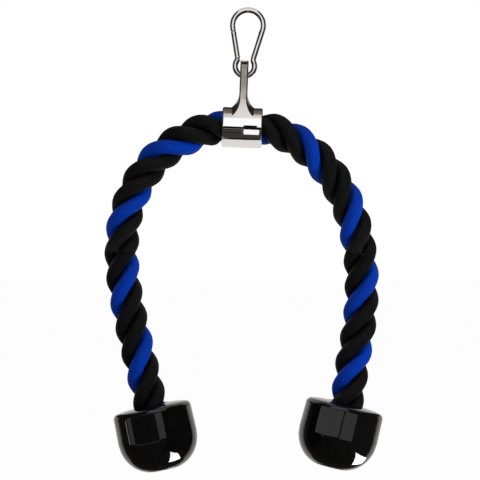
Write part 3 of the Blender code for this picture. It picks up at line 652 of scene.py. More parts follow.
def make_eye():
    """The cutter of the eye, waisted so that it leaves a round lip on both faces."""
    eye, rim, turns = EYE_DIAMETER / 2, EYE_RIM_RADIUS, quarter(EYE_LIP_CUTS)
    land, reach = TONGUE_HALF_THICKNESS - rim, TONGUE_HALF_THICKNESS + CUT_OVERRUN
    lip = [(land + rim * math.sin(a), eye + rim * (1 - math.cos(a))) for a in turns]
    upper = lip + [(reach, eye + rim), (reach, 0)]
    lower = [(-x, radius) for x, radius in reversed(upper)]
    return turned_across("eye", lower + upper, EYE_DROP, SLEEVE_SIDES // 2)


def make_web():
    """The tongue and its flare, bridged from level loops."""
    bm = bmesh.new()
    foot = WEB_FOOT - SLEEVE_DROP
    loops = []
    for half_x, half_y, corner, height in web_levels():
        loops.append(rounded_loop(bm, half_x, half_y, corner, height))
        if foot < height <= -FLARE_START:
            follow_sleeve(loops[-1], foot + FIT)
    for near, far in zip(loops, loops[1:]):
        bmesh.ops.bridge_loops(bm, edges=near + far)
    bmesh.ops.holes_fill(bm, edges=[e for e in bm.edges if e.is_boundary], sides=0)
    bmesh.ops.recalc_face_normals(bm, faces=bm.faces)
    return new_object("web", bm)


swing = Matrix.Translation(joint_place("bracket_swing")) @ Matrix.Rotation(BRACKET_LEAN, 4, "Y")
bracket = combined(make_barrel(), make_bore(), "DIFFERENCE")
tongue = combined(make_web(), make_bore(), "DIFFERENCE")
tongue = combined(tongue, make_eye(), "DIFFERENCE")

# The sleeve and the tongue are melted into one casting, and the seam between them is rounded.
bm = bmesh.new()
bm.from_mesh(bracket.data)
bm.from_mesh(tongue.data)
bm.to_mesh(bracket.data)
bm.free()
bpy.data.objects.remove(tongue)
melting = bracket.modifiers.new("melting", "REMESH")
melting.mode = "VOXEL"
melting.voxel_size = CAST_GRAIN
melting.use_smooth_shade = True
buffing = bracket.modifiers.new("buffing", "SMOOTH")
buffing.factor = CAST_SMOOTHING
buffing.iterations = CAST_SMOOTHING_PASSES
applied(bracket)

# Faces turned sideways between two heights are marked for a brown painted reflection and more
# roughness, and the sleeve is turned back to a true cylinder.
sleeve_radius, sleeve_flank = SLEEVE_DIAMETER / 2, SLEEVE_LENGTH / 2 - SLEEVE_EDGE
facing = [vert.normal.copy() for vert in bracket.data.vertices]
side_shade_mask = []
for vert, normal in zip(bracket.data.vertices, facing):
    turned_away = 1 - eased((abs(normal.y) - SIDE_SHADE_FACING) / SIDE_SHADE_FACING_FADE)
    above = eased((vert.co.z + SLEEVE_DROP - SIDE_SHADE_LOW) / SIDE_SHADE_LOW_FADE)
    below_top = 1 - eased((vert.co.z + SIDE_SHADE_TOP) / SIDE_SHADE_TOP_FADE)
    side_shade_mask.append(turned_away * above * below_top)
    off = Vector((0, vert.co.y, vert.co.z + SLEEVE_DROP))
    if abs(off.length - sleeve_radius) < SNAP_REACH and abs(vert.co.x) < sleeve_flank:
        vert.co += off.normalized() * (sleeve_radius - off.length)
bracket.data.attributes.new("rough_shaded_sides", "FLOAT", "POINT").data.foreach_set("value", side_shade_mask)
bracket.data.transform(swing)

WAVE_NOISE = (260.0, 2.0)
HAIRLINE_STRETCH = (300.0, 300.0, 4000.0)
HAIRLINE_NOISE = (1.0, 3.0)
HAIRLINE_SHARE = 0.08
SMEAR_NOISE = (90.0, 5.0)
SMEAR_EDGES = (0.4, 0.7)
CLOUD_NOISE = (240.0, 4.0)
CLOUD_EDGES = (0.3, 0.7)
GRAIN_NOISE = (900.0, 3.0)
GRAIN_SHADE = (0.2, 0.6, 0.8, 1.0)
# Painted shade: the chrome gets darker and warmer from the sleeve's top up into the tongue.
SLEEVE_TOP_SHADE = (-0.0892, -0.0868)
ROUGH_AND_SHADED_SPAN = (-0.0880, -0.0530)
UPPER_ROUGHNESS = 0.15
SIDE_ROUGHNESS = 0.3
CHROME = (0.86, 0.855, 0.85, 1)
FLARE_SHADED_CHROME = (0.62, 0.60, 0.57, 1)
TONGUE_SHADED_CHROME = (0.24, 0.21, 0.18, 1)
TONGUE_SHADED_CLOUDS = (0.28, 0.25, 0.22, 1)
# Brown painted reflection for faces turned sideways.
SIDE_SHADE_BROWN = (0.19, 0.148, 0.122, 1)


def polish_group():
    """Marks of polishing on plated steel: a faint waviness, hairlines and haze."""
    group, given, sink = effect_group(
        "polish_marks", SKIN[1:], Place=(0, 0, 0), Gloss=0.05, Haze=0.03
    )
    place = given["Place"]
    hair = noise(group, scaled(group, place, HAIRLINE_STRETCH), *HAIRLINE_NOISE)
    hairlines = maths(group, "MULTIPLY", hair, HAIRLINE_SHARE)
    smear = ranged(group, noise(group, place, *SMEAR_NOISE), *SMEAR_EDGES)
    haze = maths(group, "MULTIPLY", smear, given["Haze"])
    return put_out(
        group, sink,
        Roughness=maths(group, "ADD", given["Gloss"], haze),
        Height=maths(group, "ADD", noise(group, place, *WAVE_NOISE), hairlines),
    )


def coated(name, group, gloss, relief, colour=None, metallic=1.0, **inputs):
    """A material whose finish comes from a node group, over a plain colour if one is given."""
    material, tree, shader = new_material(name, gloss, metallic)
    place = node(tree, "ShaderNodeTexCoord").outputs["Object"]
    skin = node(tree, "ShaderNodeGroup", group, Place=place, Gloss=gloss, **inputs)
    if colour is not None:
        shader.inputs["Base Color"].default_value = colour
    skinned(tree, shader, skin, relief)
    return material


def bracket_chrome():
    """Chrome: mirror bright on the sleeve, rougher above, with painted shade and reflection."""
    material = coated(
        "bracket_chrome", polish_marks, gloss=0.02, relief=0.000003, colour=CHROME, Haze=0.02
    )
    tree = material.node_tree
    shader, marks = tree.nodes["Principled BSDF"], tree.nodes["Group"]
    place = tree.nodes["Texture Coordinate"].outputs["Object"]
    height = node(tree, "ShaderNodeSeparateXYZ", Vector=place).outputs["Z"]
    # Painted shade: darker, warmer chrome higher up the flare and tongue, which are rougher too.
    rough_and_shaded = ranged(tree, height, *ROUGH_AND_SHADED_SPAN)
    cloudy = ranged(tree, noise(tree, place, *CLOUD_NOISE), *CLOUD_EDGES)
    shaded_tongue = mixed(tree, cloudy, TONGUE_SHADED_CHROME, TONGUE_SHADED_CLOUDS)
    shaded_chrome = mixed(tree, rough_and_shaded, FLARE_SHADED_CHROME, shaded_tongue)
    plated = mixed(tree, ranged(tree, height, *SLEEVE_TOP_SHADE), CHROME, shaded_chrome)
    # Brown painted reflection, grainy, on faces marked as turned sideways, which are rougher too.
    rough_shaded_sides = node(tree, "ShaderNodeAttribute")
    rough_shaded_sides.attribute_name = "rough_shaded_sides"
    grain = ranged(tree, noise(tree, place, *GRAIN_NOISE), *GRAIN_SHADE)
    grainy_shaded_sides = maths(tree, "MULTIPLY", rough_shaded_sides.outputs["Fac"], grain)
    tree.links.new(mixed(tree, grainy_shaded_sides, plated, SIDE_SHADE_BROWN), shader.inputs["Base Color"])
    roughness = marks.outputs["Roughness"]
    for mask, rise in ((rough_and_shaded, UPPER_ROUGHNESS), (grainy_shaded_sides, SIDE_ROUGHNESS)):
        roughness = maths(tree, "ADD", roughness, maths(tree, "MULTIPLY", mask, rise))
    tree.links.new(roughness, shader.inputs["Roughness"])
    return material


polish_marks = polish_group()
fitted(smoothed(bracket, [bracket_chrome()]), ["bracket"], "bracket")

# End caps: solid gloss-black mouldings, 67 mm across, with a domed top, a barrel side and a round
# underside. The rope goes up through a bore, and a wider chamber below it holds its crimped end.

CAP_HEIGHT = 0.0532
CAP_TOP_RADIUS = 0.0329
CAP_SIDE_RADIUS = 0.0334
CAP_FLAT_RADIUS = 0.0085
CAP_TOP_EDGE = 0.0045
CAP_DOME_RISE = 0.0015
CAP_SIDE_END = 0.0250
CAP_STEP_DEPTH = 0.0248
CAP_BORE = 0.0148
CAP_CHAMBER = 0.0162
CAP_MOUTH_EDGE = 0.0006
CAP_RIM_EDGE = 0.0004
CAP_SIDES = 160
CAP_MOUTH_CUTS = 5
CAP_DOME_CUTS = 12
CAP_EDGE_CUTS = 14
CAP_SIDE_CUTS = 40
CAP_SHARP_ANGLE = 50
PEEL_NOISE = (420.0, 1.0)
SCUFF_STRETCH = (60.0, 60.0, 1500.0)
SCUFF_NOISE = (1.0, 4.0)
SCUFF_EDGES = (0.62, 0.72)
SCUFF_ROUGHNESS = 0.05
DUST_NOISE = (1500.0, 0.0)
DUST_SHADE = (0.78, 0.82, 0.0, 0.25)
DUST = grey(0.12)
CAP_BLACK = grey(0.0035)


def base_depth(radius):
    """How far the round underside lies below the cap's shoulder, at some radius."""
    share = max(0, radius - CAP_FLAT_RADIUS) / (CAP_SIDE_RADIUS - CAP_FLAT_RADIUS)
    return CAP_SIDE_END + (CAP_HEIGHT - CAP_SIDE_END) * math.sqrt(max(0, 1 - share * share))


def cap_section():
    """Radius and height of the cap's section: mouth, top, side and base, and back up its bore."""
    top, edge, mouth, rim = CAP_TOP_RADIUS, CAP_TOP_EDGE, CAP_MOUTH_EDGE, CAP_RIM_EDGE
    fall_off = math.atan(2 * CAP_DOME_RISE / (top - edge - CAP_BORE))
    sweep = math.pi / 2 - fall_off
    turns = [fall_off + sweep * i / CAP_EDGE_CUTS for i in range(CAP_EDGE_CUTS + 1)]
    rounding = [(top - edge + edge * math.sin(a), -edge + edge * math.cos(a)) for a in turns]
    shoulder, level = rounding[0]
    lip, crest = CAP_BORE + mouth, level + CAP_DOME_RISE
    section = [
        (lip - mouth * math.cos(a), crest - mouth + mouth * math.sin(a))
        for a in quarter(CAP_MOUTH_CUTS)
    ]
    shares = [i / CAP_DOME_CUTS for i in range(1, CAP_DOME_CUTS)]
    span = shoulder - CAP_BORE - mouth
    section += [(lip + span * t, level + CAP_DOME_RISE * (1 - t * t)) for t in shares]
    section += rounding
    narrowing = CAP_CHAMBER + rim - CAP_SIDE_RADIUS
    widths = [CAP_SIDE_RADIUS + narrowing * math.sin(a) for a in quarter(CAP_SIDE_CUTS)]
    section += [(width, -base_depth(width)) for width in widths]
    section += [(CAP_CHAMBER, -base_depth(CAP_CHAMBER) + rim), (CAP_CHAMBER, -CAP_STEP_DEPTH)]
    return section + [(CAP_BORE, -CAP_STEP_DEPTH), section[0]]


def moulding_group():
    """Skin of a gloss moulding: faint orange peel, hairline scuffs and a little dust."""
    group, given, sink = effect_group(
        "moulded_skin", SKIN, Place=(0, 0, 0), Body=grey(0), Gloss=0.06
    )
    place = given["Place"]
    scuff = noise(group, scaled(group, place, SCUFF_STRETCH), *SCUFF_NOISE)
    rougher = maths(group, "MULTIPLY", ranged(group, scuff, *SCUFF_EDGES), SCUFF_ROUGHNESS)
    dusty = ranged(group, noise(group, place, *DUST_NOISE), *DUST_SHADE)
    return put_out(
        group, sink,
        Color=mixed(group, dusty, given["Body"], DUST),
        Roughness=maths(group, "ADD", given["Gloss"], rougher),
        Height=noise(group, place, *PEEL_NOISE),
    )


def cap_place(side, sign, route, tilt):
    """The end cap's frame: the middle of its shoulder, with Z up the rope."""
    out, down = route[-1]
    top = joint_place(f"{side}_leg_bend") + Vector((sign * out, 0, -down))
    return Matrix.Translation(top) @ Matrix.Rotation(sign * tilt, 4, "Y")


def turned(section, sides):
    """A mesh turned about Z from (radius, height) points, closed if they end where they start."""
    bm = bmesh.new()
    outline_spin(bm, [(radius, 0, height) for radius, height in section], UP, sides)
    return bm


def moved(bm, place):
    """A mesh taken to its place by a matrix."""
    bmesh.ops.transform(bm, matrix=place, verts=bm.verts)
    return bm


def cap_piece(side, name, bm, material, sharp_angle, replaced):
    """Moves a turned piece into an end cap, where it rides on the cap's leg."""
    piece = finished(f"{side}_{name}", moved(bm, CAP_PLACES[side]), [material], sharp_angle)
    fitted(piece, [f"{side}_{replaced}"], f"{side}_leg")


CAP_PLACES = {
    "left": cap_place("left", -1, LEFT_ROUTE, LEFT_CAP_TILT),
    "right": cap_place("right", 1, RIGHT_ROUTE, RIGHT_CAP_TILT),
}

moulded_skin = moulding_group()
gloss_black = coated(
    "gloss_black", moulded_skin, gloss=0.05, relief=0.000008, metallic=0.0, Body=CAP_BLACK
)
for side in CAP_PLACES:
    cap = turned(cap_section(), CAP_SIDES)
    cap_piece(
        side, "ball_end", cap, gloss_black, CAP_SHARP_ANGLE, "end_cap"
    )

# Rope fittings: in each cap a grooved ferrule is crimped round the rope's end, and a wood screw up
# the rope's heart, with a washer under its head, spreads the strands. All are zinc-plated steel.

FERRULE_INNER = 0.0139
FERRULE_OUTER = 0.0159
FERRULE_TOP = 0.0251
FERRULE_GROOVE = 0.0006
FERRULE_GROOVE_HALF = 0.0012
WASHER_TOP = 0.0414
WASHER_THICKNESS = 0.0016
WASHER_EDGE = 0.0003
SCREW_SHANK = 0.0024
SCREW_HEAD = 0.00475
SCREW_HEAD_TOP = 0.0433
SCREW_HEAD_HEIGHT = 0.0032
SCREW_POINT = 0.0050
SCREW_DRIVE = 0.0018
SCREW_DRIVE_DEPTH = 0.0016
THREAD_PITCH = 0.0022
THREAD_DEPTH = 0.0006
FITTING_SIDES = 96
FITTING_SHARP_ANGLE = 35
THREAD_SUNK_SHARE = 0.95
ZINC_CLOUD_NOISE = (300.0, 4.0)
ZINC_CLOUD_SHADE = (0.42, 0.6, 0.0, 0.35)
ZINC_CLOUD_ROUGHNESS = (0.35, 0.65, 0.0, 0.12)
ZINC_PIT_NOISE = (2500.0, 1.0)
ZINC_CLOUD = (0.50, 0.56, 0.62, 1)
ZINC = (0.60, 0.61, 0.62, 1)
PIT_DEPTH = 0.00001


def plated_group():
    """Bright zinc plate: cloudy, faintly iridescent patches and fine pits."""
    group, given, sink = effect_group(
        "zinc_plate", SKIN, Place=(0, 0, 0), Plate=grey(0.6), Gloss=0.3
    )
    cloud = noise(group, given["Place"], *ZINC_CLOUD_NOISE)
    patch = ranged(group, cloud, *ZINC_CLOUD_SHADE)
    rougher = ranged(group, cloud, *ZINC_CLOUD_ROUGHNESS)
    return put_out(
        group, sink,
        Color=mixed(group, patch, given["Plate"], ZINC_CLOUD),
        Roughness=maths(group, "ADD", given["Gloss"], rougher),
        Height=noise(group, given["Place"], *ZINC_PIT_NOISE),
    )


def add_thread(bm, root, low, high):
    """Adds a screw thread, a ridge swept up a helix round the shank."""
    half, foot = THREAD_PITCH / 4, root * THREAD_SUNK_SHARE
    ridge = [(foot, -half), (root + THREAD_DEPTH, 0), (foot, half)]
    line = [bm.verts.new((radius, 0, low + height)) for radius, height in ridge]
    edges = [bm.edges.new(pair) for pair in zip(line, line[1:])]
    turns = (high - low) / THREAD_PITCH
    steps = round(turns * FITTING_SIDES / 2)
    bmesh.ops.spin(
        bm, geom=line + edges, cent=(0, 0, 0), axis=UP, angle=math.tau * turns, steps=steps,
        dvec=UP * (high - low) / steps,
    )


ferrule_end = FERRULE_TOP + FERRULE_LENGTH
ferrule_section = [(FERRULE_INNER, -FERRULE_TOP), (FERRULE_OUTER, -FERRULE_TOP)]
for groove in (FERRULE_TOP + FERRULE_LENGTH / 3, FERRULE_TOP + FERRULE_LENGTH * 2 / 3):
    ferrule_section += [
        (FERRULE_OUTER, FERRULE_GROOVE_HALF - groove), (FERRULE_OUTER - FERRULE_GROOVE, -groove),
        (FERRULE_OUTER, -FERRULE_GROOVE_HALF - groove),
    ]
ferrule_section += [(FERRULE_OUTER, -ferrule_end), (FERRULE_INNER, -ferrule_end)]

washer_bore, washer_rim = SCREW_SHANK + FIT, FERRULE_OUTER - WASHER_EDGE
washer_end = WASHER_TOP + WASHER_THICKNESS
washer_section = [
    (washer_bore, -WASHER_TOP), (washer_rim, -WASHER_TOP),
    (FERRULE_OUTER, -WASHER_TOP - WASHER_EDGE), (FERRULE_OUTER, WASHER_EDGE - washer_end),
    (washer_rim, -washer_end), (washer_bore, -washer_end),
]

screw_tip, screw_end = ferrule_end - SCREW_REACH, SCREW_HEAD_TOP + SCREW_HEAD_HEIGHT
thread_root = SCREW_SHANK - THREAD_DEPTH
thread_low, thread_high = SCREW_SHANK - SCREW_HEAD_TOP, -screw_tip - SCREW_POINT
screw_section = [
    (0, -screw_tip), (thread_root, thread_high), (thread_root, thread_low),
    (SCREW_SHANK, -SCREW_HEAD_TOP), (SCREW_HEAD, -SCREW_HEAD_TOP),
    (SCREW_HEAD, WASHER_EDGE - screw_end), (SCREW_HEAD - WASHER_EDGE, -screw_end),
    (SCREW_DRIVE, -screw_end), (SCREW_DRIVE, SCREW_DRIVE_DEPTH - screw_end),
    (0, SCREW_DRIVE_DEPTH - screw_end),
]

zinc_plate = plated_group()
zinc = coated("zinc_plated_steel", zinc_plate, gloss=0.28, relief=PIT_DEPTH, Plate=ZINC)
for side in CAP_PLACES:
    ferrule = turned(ferrule_section + ferrule_section[:1], FITTING_SIDES)
    washer = turned(washer_section + washer_section[:1], FITTING_SIDES)
    screw = turned(screw_section, FITTING_SIDES)
    add_thread(screw, thread_root, thread_low, thread_high)
    for name, bm, replaced in (
        ("crimped_ferrule", ferrule, "ferrule"), ("flat_washer", washer, "washer"),
        ("wood_screw", screw, "screw"),
    ):
        cap_piece(side, name, bm, zinc, FITTING_SHARP_ANGLE, replaced)

# Cap plugs: round plugs of matt black plastic, pressed into the chamber to cover the screw. Their
# outside carries on the cap's round underside, with a chamfer where they meet it.

PLUG_THICKNESS = 0.0030
PLUG_RADIUS = 0.0159
PLUG_EDGE = 0.0005
PLUG_CUTS = 8
PLUG_BLACK = grey(0.012)

plug_rim = PLUG_RADIUS - PLUG_EDGE
plug_sweep = CAP_FLAT_RADIUS - plug_rim
plug_widths = [plug_rim + plug_sweep * i / PLUG_CUTS for i in range(PLUG_CUTS + 1)]
plug_section = [
    (0, PLUG_THICKNESS - CAP_HEIGHT), (PLUG_RADIUS, PLUG_THICKNESS - CAP_HEIGHT),
    (PLUG_RADIUS, PLUG_EDGE - base_depth(PLUG_RADIUS)),
]
plug_section += [(width, -base_depth(width)) for width in plug_widths] + [(0, -CAP_HEIGHT)]

plug_black = coated(
    "plug_black", moulded_skin, gloss=0.35, relief=0.00002, metallic=0.0, Body=PLUG_BLACK
)
for side in CAP_PLACES:
    plug = turned(plug_section, FITTING_SIDES)
    cap_piece(
        side, "base_plug", plug, plug_black, FITTING_SHARP_ANGLE, "cap_plug",
    )

# Snap hook: one length of round steel wire, bent to a big eye, a waist and a small eye, and
# chromed. Its nose and its heel are pressed flat where they go into the slots of the gate, and the
# heel is cupped to sit close round the gate's foot.

HOOK_WIRE = 0.0047
HOOK_TOP = 0.0041
HOOK_CROWN_RADIUS = 0.0128
HOOK_SMALL_EYE_RADIUS = 0.0081
HOOK_WAIST_RADIUS = 0.0050
HOOK_WAIST_WIDTH = 0.0066
HOOK_NOSE_LENGTH = 0.0028
HOOK_LEAN = math.radians(4.4)
HOOK_FLAT_THICKNESS = 0.0012
HOOK_FLAT_WIDTH = 0.0040
HOOK_FLAT_ROOT = 0.0020
HOOK_HEEL_HEIGHT = 0.0021
HOOK_HEEL_DROP = 0.0015
HOOK_STEP = math.radians(3)
HOOK_SIDES = 32
HOOK_END_EDGE = 0.0002
HOOK_EDGE_CUTS = 3
HOOK_NOSE_STEPS = 3
HOOK_SIDE_STEPS = 12
HOOK_CUP_SIDES = 64
HOOK_SHARP_ANGLE = 35
HOOK_THROAT_CUTS = 6
HOOK_HEEL_CUTS = 10
HOOK_PLATE = (0.66, 0.635, 0.62, 1)
GATE_LENGTH = 0.0216
GATE_RADIUS = 0.00235
GATE_HEAD_SLOT = 0.0061
RIVET_RADIUS = 0.00085
LATCH_PIN_RADIUS = 0.0006
LATCH_PIN_DROP = 0.0032
FINE_FIT = 0.0001
DRILL_SIDES = 32


def arc(centre, radius, start, end):
    """Points on a circle in the XZ plane, both ends included."""
    count = max(2, math.ceil(abs(end - start) / HOOK_STEP))
    angles = [start + (end - start) * i / count for i in range(count + 1)]
    return [centre + radius * Vector((math.cos(a), 0, math.sin(a))) for a in angles]


def angle_of(point, centre):
    """The angle of a point on a circle in the XZ plane."""
    return math.atan2(point.z - centre.z, point.x - centre.x)


def mirrored(point):
    """A point of the hook's right side, on its left."""
    return Vector((-point.x, point.y, point.z))


def line_between(near, far, steps):
    """Points between two ends, without the ends."""
    return [near.lerp(far, i / steps) for i in range(1, steps)]


hook_straight = GATE_LENGTH + FIT + HOOK_NOSE_LENGTH
arm = HOOK_CROWN_RADIUS + HOOK_WAIST_RADIUS
side_lean = math.acos((HOOK_WAIST_WIDTH + HOOK_WAIST_RADIUS) / math.hypot(arm, hook_straight))
side_lean -= math.atan2(hook_straight, arm)
crown = Vector((0, 0, HOOK_TOP - HOOK_WIRE / 2 - HOOK_CROWN_RADIUS))
outward = Vector((math.cos(side_lean), 0, -math.sin(side_lean)))
downward = Vector((-math.sin(side_lean), 0, -math.cos(side_lean)))
waist = crown + HOOK_CROWN_RADIUS * outward + hook_straight * downward
bend = waist + HOOK_WAIST_RADIUS * outward
eye_arm = HOOK_SMALL_EYE_RADIUS + HOOK_WAIST_RADIUS
small_eye = Vector((0, 0, bend.z - math.sqrt(eye_arm * eye_arm - bend.x * bend.x)))
flank = small_eye + (bend - small_eye) * HOOK_SMALL_EYE_RADIUS / eye_arm
gate_way = Vector((-math.sin(side_lean), 0, math.cos(side_lean)))
nose = mirrored(waist) + (GATE_LENGTH + FIT) * gate_way

crown_arc = arc(crown, HOOK_CROWN_RADIUS, math.pi + side_lean, -side_lean)
waist_arc = arc(bend, HOOK_WAIST_RADIUS, math.pi - side_lean, angle_of(flank, bend) % math.tau)
eye_start = angle_of(flank, small_eye)
eye_arc = arc(small_eye, HOOK_SMALL_EYE_RADIUS, eye_start, -math.pi - eye_start)
heel_start = angle_of(mirrored(flank), mirrored(bend))
heel_end = side_lean - HOOK_HEEL_DROP / HOOK_WAIST_RADIUS
heel_arc = arc(mirrored(bend), HOOK_WAIST_RADIUS, heel_start, heel_end)
hook_path = [nose] + line_between(nose, crown_arc[0], HOOK_NOSE_STEPS) + crown_arc
hook_path += line_between(crown_arc[-1], waist_arc[0], HOOK_SIDE_STEPS) + waist_arc
hook_path += eye_arc[1:] + heel_arc[1:]

hook_place = Matrix.Rotation(HOOK_LEAN, 4, "Y")
gate_place = Matrix.Translation(joint_place("gate_hinge"))
gate_place = gate_place @ Matrix.Rotation(HOOK_LEAN - side_lean, 4, "Y")


def of_kind(parts, kind):
    """The vertices, or the faces, among the parts of a bmesh."""
    return [part for part in parts if isinstance(part, kind)]


def drawn_wire(bm, path, radius, sides):
    """A round wire along a path: a disc pushed from point to point and turned with it."""
    last = len(path) - 1
    ways = [(path[min(i + 1, last)] - path[max(i - 1, 0)]).normalized() for i in range(last + 1)]
    start = Matrix.Translation(path[0]) @ UP.rotation_difference(ways[0]).to_matrix().to_4x4()
    disc = bmesh.ops.create_circle(bm, cap_ends=True, radius=radius, segments=sides, matrix=start)
    first = face = disc["verts"][0].link_faces[0]
    for i in range(last):
        grown = bmesh.ops.extrude_face_region(bm, geom=[face])["geom"]
        face = of_kind(grown, bmesh.types.BMFace)[0]
        turn = ways[i].rotation_difference(ways[i + 1]).to_matrix().to_4x4()
        step = Matrix.Translation(path[i + 1]) @ turn @ Matrix.Translation(-path[i])
        bmesh.ops.transform(bm, matrix=step, verts=of_kind(grown, bmesh.types.BMVert))
    return first, face


def flat(name, outline):
    """A flat plate in the gate's slots, centred on Y, from its (x, z) outline."""
    bm = bmesh.new()
    face = bm.faces.new([bm.verts.new((x, -HOOK_FLAT_THICKNESS / 2, z)) for x, z in outline])
    grown = bmesh.ops.extrude_face_region(bm, geom=[face])["geom"]
    back = of_kind(grown, bmesh.types.BMVert)
    bmesh.ops.translate(bm, vec=DEPTH * HOOK_FLAT_THICKNESS, verts=back)
    bmesh.ops.recalc_face_normals(bm, faces=bm.faces)
    return new_object(name, moved(bm, gate_place))


def across_gate(height):
    """A frame whose Z runs through the gate from front to back, at a height above its hinge."""
    return gate_place @ Matrix.Translation(UP * height) @ Matrix.Rotation(math.pi / 2, 4, "X")


def drill(name, radius, length, place):
    """A cutter for a round hole, centred in a frame and along its Z."""
    bm = bmesh.new()
    bmesh.ops.create_cone(
        bm, cap_ends=True, segments=DRILL_SIDES, radius1=radius, radius2=radius, depth=length,
        matrix=place,
    )
    return new_object(name, bm)


def nose_outline():
    """The flat of the nose, with its notch for the latch pin."""
    half, notch = HOOK_FLAT_WIDTH / 2, LATCH_PIN_RADIUS + FIT
    low, high = GATE_LENGTH - GATE_HEAD_SLOT + 2 * FIT, GATE_LENGTH + FIT + HOOK_FLAT_ROOT
    middle = GATE_LENGTH - LATCH_PIN_DROP
    throat = [
        (-notch * math.sin(a), middle - notch * math.cos(a)) for a in quarter(HOOK_THROAT_CUTS)
    ]
    throat += [(x, 2 * middle - z) for x, z in reversed(throat)]
    toe, rise = half * 2 / 3, low + half / 3
    outline = [(-half, rise), (-toe, low), (toe, low), (half, rise), (half, middle - notch)]
    return outline + throat + [(half, middle + notch), (half, high), (-half, high)]


def heel_outline():
    """The flat of the heel, bent with the wire, whose top the plunger presses on."""
    half, radius = HOOK_FLAT_WIDTH / 2, HOOK_WAIST_RADIUS
    sweep = (GATE_RADIUS + HOOK_FLAT_ROOT) / radius
    turns = [sweep * i / HOOK_HEEL_CUTS for i in range(1, HOOK_HEEL_CUTS + 1)]
    outer, inner = (
        [(-radius + reach * math.cos(a), -reach * math.sin(a)) for a in turns]
        for reach in (radius + half, radius - half)
    )
    return [(-half, HOOK_HEEL_HEIGHT), (half, HOOK_HEEL_HEIGHT)] + outer + inner[::-1]


bm = bmesh.new()
ends = drawn_wire(bm, hook_path, HOOK_WIRE / 2, HOOK_SIDES)
rims = list({edge for face in ends for edge in face.edges})
bmesh.ops.bevel(
    bm, geom=rims, offset=HOOK_END_EDGE, offset_type="OFFSET", segments=HOOK_EDGE_CUTS,
    profile=0.5, affect="EDGES", material=-1,
)
bmesh.ops.recalc_face_normals(bm, faces=bm.faces)
hook = new_object("snap_hook_wire", moved(bm, hook_place))
bm = bmesh.new()
bmesh.ops.create_uvsphere(
    bm, u_segments=HOOK_CUP_SIDES, v_segments=HOOK_CUP_SIDES // 2, radius=GATE_RADIUS + FINE_FIT,
    matrix=gate_place,
)
combined(hook, new_object("heel_cup", bm), "DIFFERENCE")
combined(hook, flat("nose_flat", nose_outline()), "UNION")
combined(hook, flat("heel_flat", heel_outline()), "UNION")
heel_hole = drill("heel_hole", RIVET_RADIUS + FINE_FIT, 2 * GATE_RADIUS, across_gate(0.0))
combined(hook, heel_hole, "DIFFERENCE")
hook_chrome = coated(
    "hook_chrome", polish_marks, gloss=0.06, relief=0.000004, colour=HOOK_PLATE, Haze=0.04
)
smoothed(hook, [hook_chrome], HOOK_SHARP_ANGLE)
fitted(hook, ["snap_hook_body"], "hook")

# Gate: a turned steel rod, slotted at both ends and drilled up its middle for its spring. A rivet
# holds its foot on the hook's heel, and a pin across its head drops into the nose's notch.

GATE_SLOT_WIDTH = 0.0017
GATE_FOOT_SLOT = 0.0032
GATE_BORE_RADIUS = 0.00115
GATE_BORE_WALL = 0.0021
GATE_EDGE = 0.0003
GATE_ARRIS = 0.00008
GATE_ARRIS_CUTS = 2
GATE_SIDES = 48
GATE_FOOT_CUTS = 12
GATE_SHARP_ANGLE = 40
PIN_SIDES = 40
PIN_DOME_CUTS = 6
PIN_SHARP_ANGLE = 50
RIVET_LENGTH = 0.0045
RIVET_DOME = 0.00012
LATCH_PIN_LENGTH = 0.0044
LATCH_PIN_DOME = 0.00008

wide, slot_half = 2 * GATE_RADIUS, GATE_SLOT_WIDTH / 2
gate_bore_low = HOOK_HEEL_HEIGHT - FIT
gate_bore_end = GATE_LENGTH - GATE_HEAD_SLOT - GATE_BORE_WALL
pin_height = GATE_LENGTH - LATCH_PIN_DROP
gate_section = [
    (GATE_RADIUS * math.sin(a), -GATE_RADIUS * math.cos(a)) for a in quarter(GATE_FOOT_CUTS)
]
gate_section += [
    (GATE_RADIUS, GATE_LENGTH - GATE_EDGE), (GATE_RADIUS - GATE_EDGE, GATE_LENGTH),
    (0, GATE_LENGTH),
]


def slot_tool(name, low, high):
    """A cutter for a slot right across the gate, between two heights above its hinge."""
    bm = bmesh.new()
    bmesh.ops.create_cube(bm, size=1)
    low, high = Vector((-wide, -slot_half, low)), Vector((wide, slot_half, high))
    bmesh.ops.scale(bm, vec=high - low, verts=bm.verts)
    bmesh.ops.translate(bm, vec=(low + high) / 2, verts=bm.verts)
    return new_object(name, moved(bm, gate_place))


def cross_pin(name, radius, length, dome, height, replaced, body):
    """A round pin through the gate from front to back, with slightly domed ends."""
    turns, half = quarter(PIN_DOME_CUTS), length / 2
    dome_section = [(radius * math.sin(a), half + dome * math.cos(a)) for a in turns]
    bm = turned(dome_section + [(r, -h) for r, h in reversed(dome_section)], PIN_SIDES)
    pin = finished(name, moved(bm, across_gate(height)), [pin_steel], PIN_SHARP_ANGLE)
    fitted(pin, [replaced], body)


gate = new_object("spring_gate", moved(turned(gate_section, GATE_SIDES), gate_place))
bore_place = gate_place @ Matrix.Translation(UP * (gate_bore_low + gate_bore_end) / 2)
for tool in (
    slot_tool("foot_slot", -wide, GATE_FOOT_SLOT),
    slot_tool("head_slot", GATE_LENGTH - GATE_HEAD_SLOT, GATE_LENGTH + wide),
    drill("spring_bore", GATE_BORE_RADIUS, gate_bore_end - gate_bore_low, bore_place),
    drill("rivet_hole", RIVET_RADIUS + FINE_FIT, 2 * wide, across_gate(0.0)),
    drill("pin_hole", LATCH_PIN_RADIUS + FINE_FIT, 2 * wide, across_gate(pin_height)),
):
    combined(gate, tool, "DIFFERENCE")
arris = gate.modifiers.new("arris", "BEVEL")
arris.width = GATE_ARRIS
arris.segments = GATE_ARRIS_CUTS
arris.limit_method = "ANGLE"
arris.angle_limit = math.radians(GATE_SHARP_ANGLE)
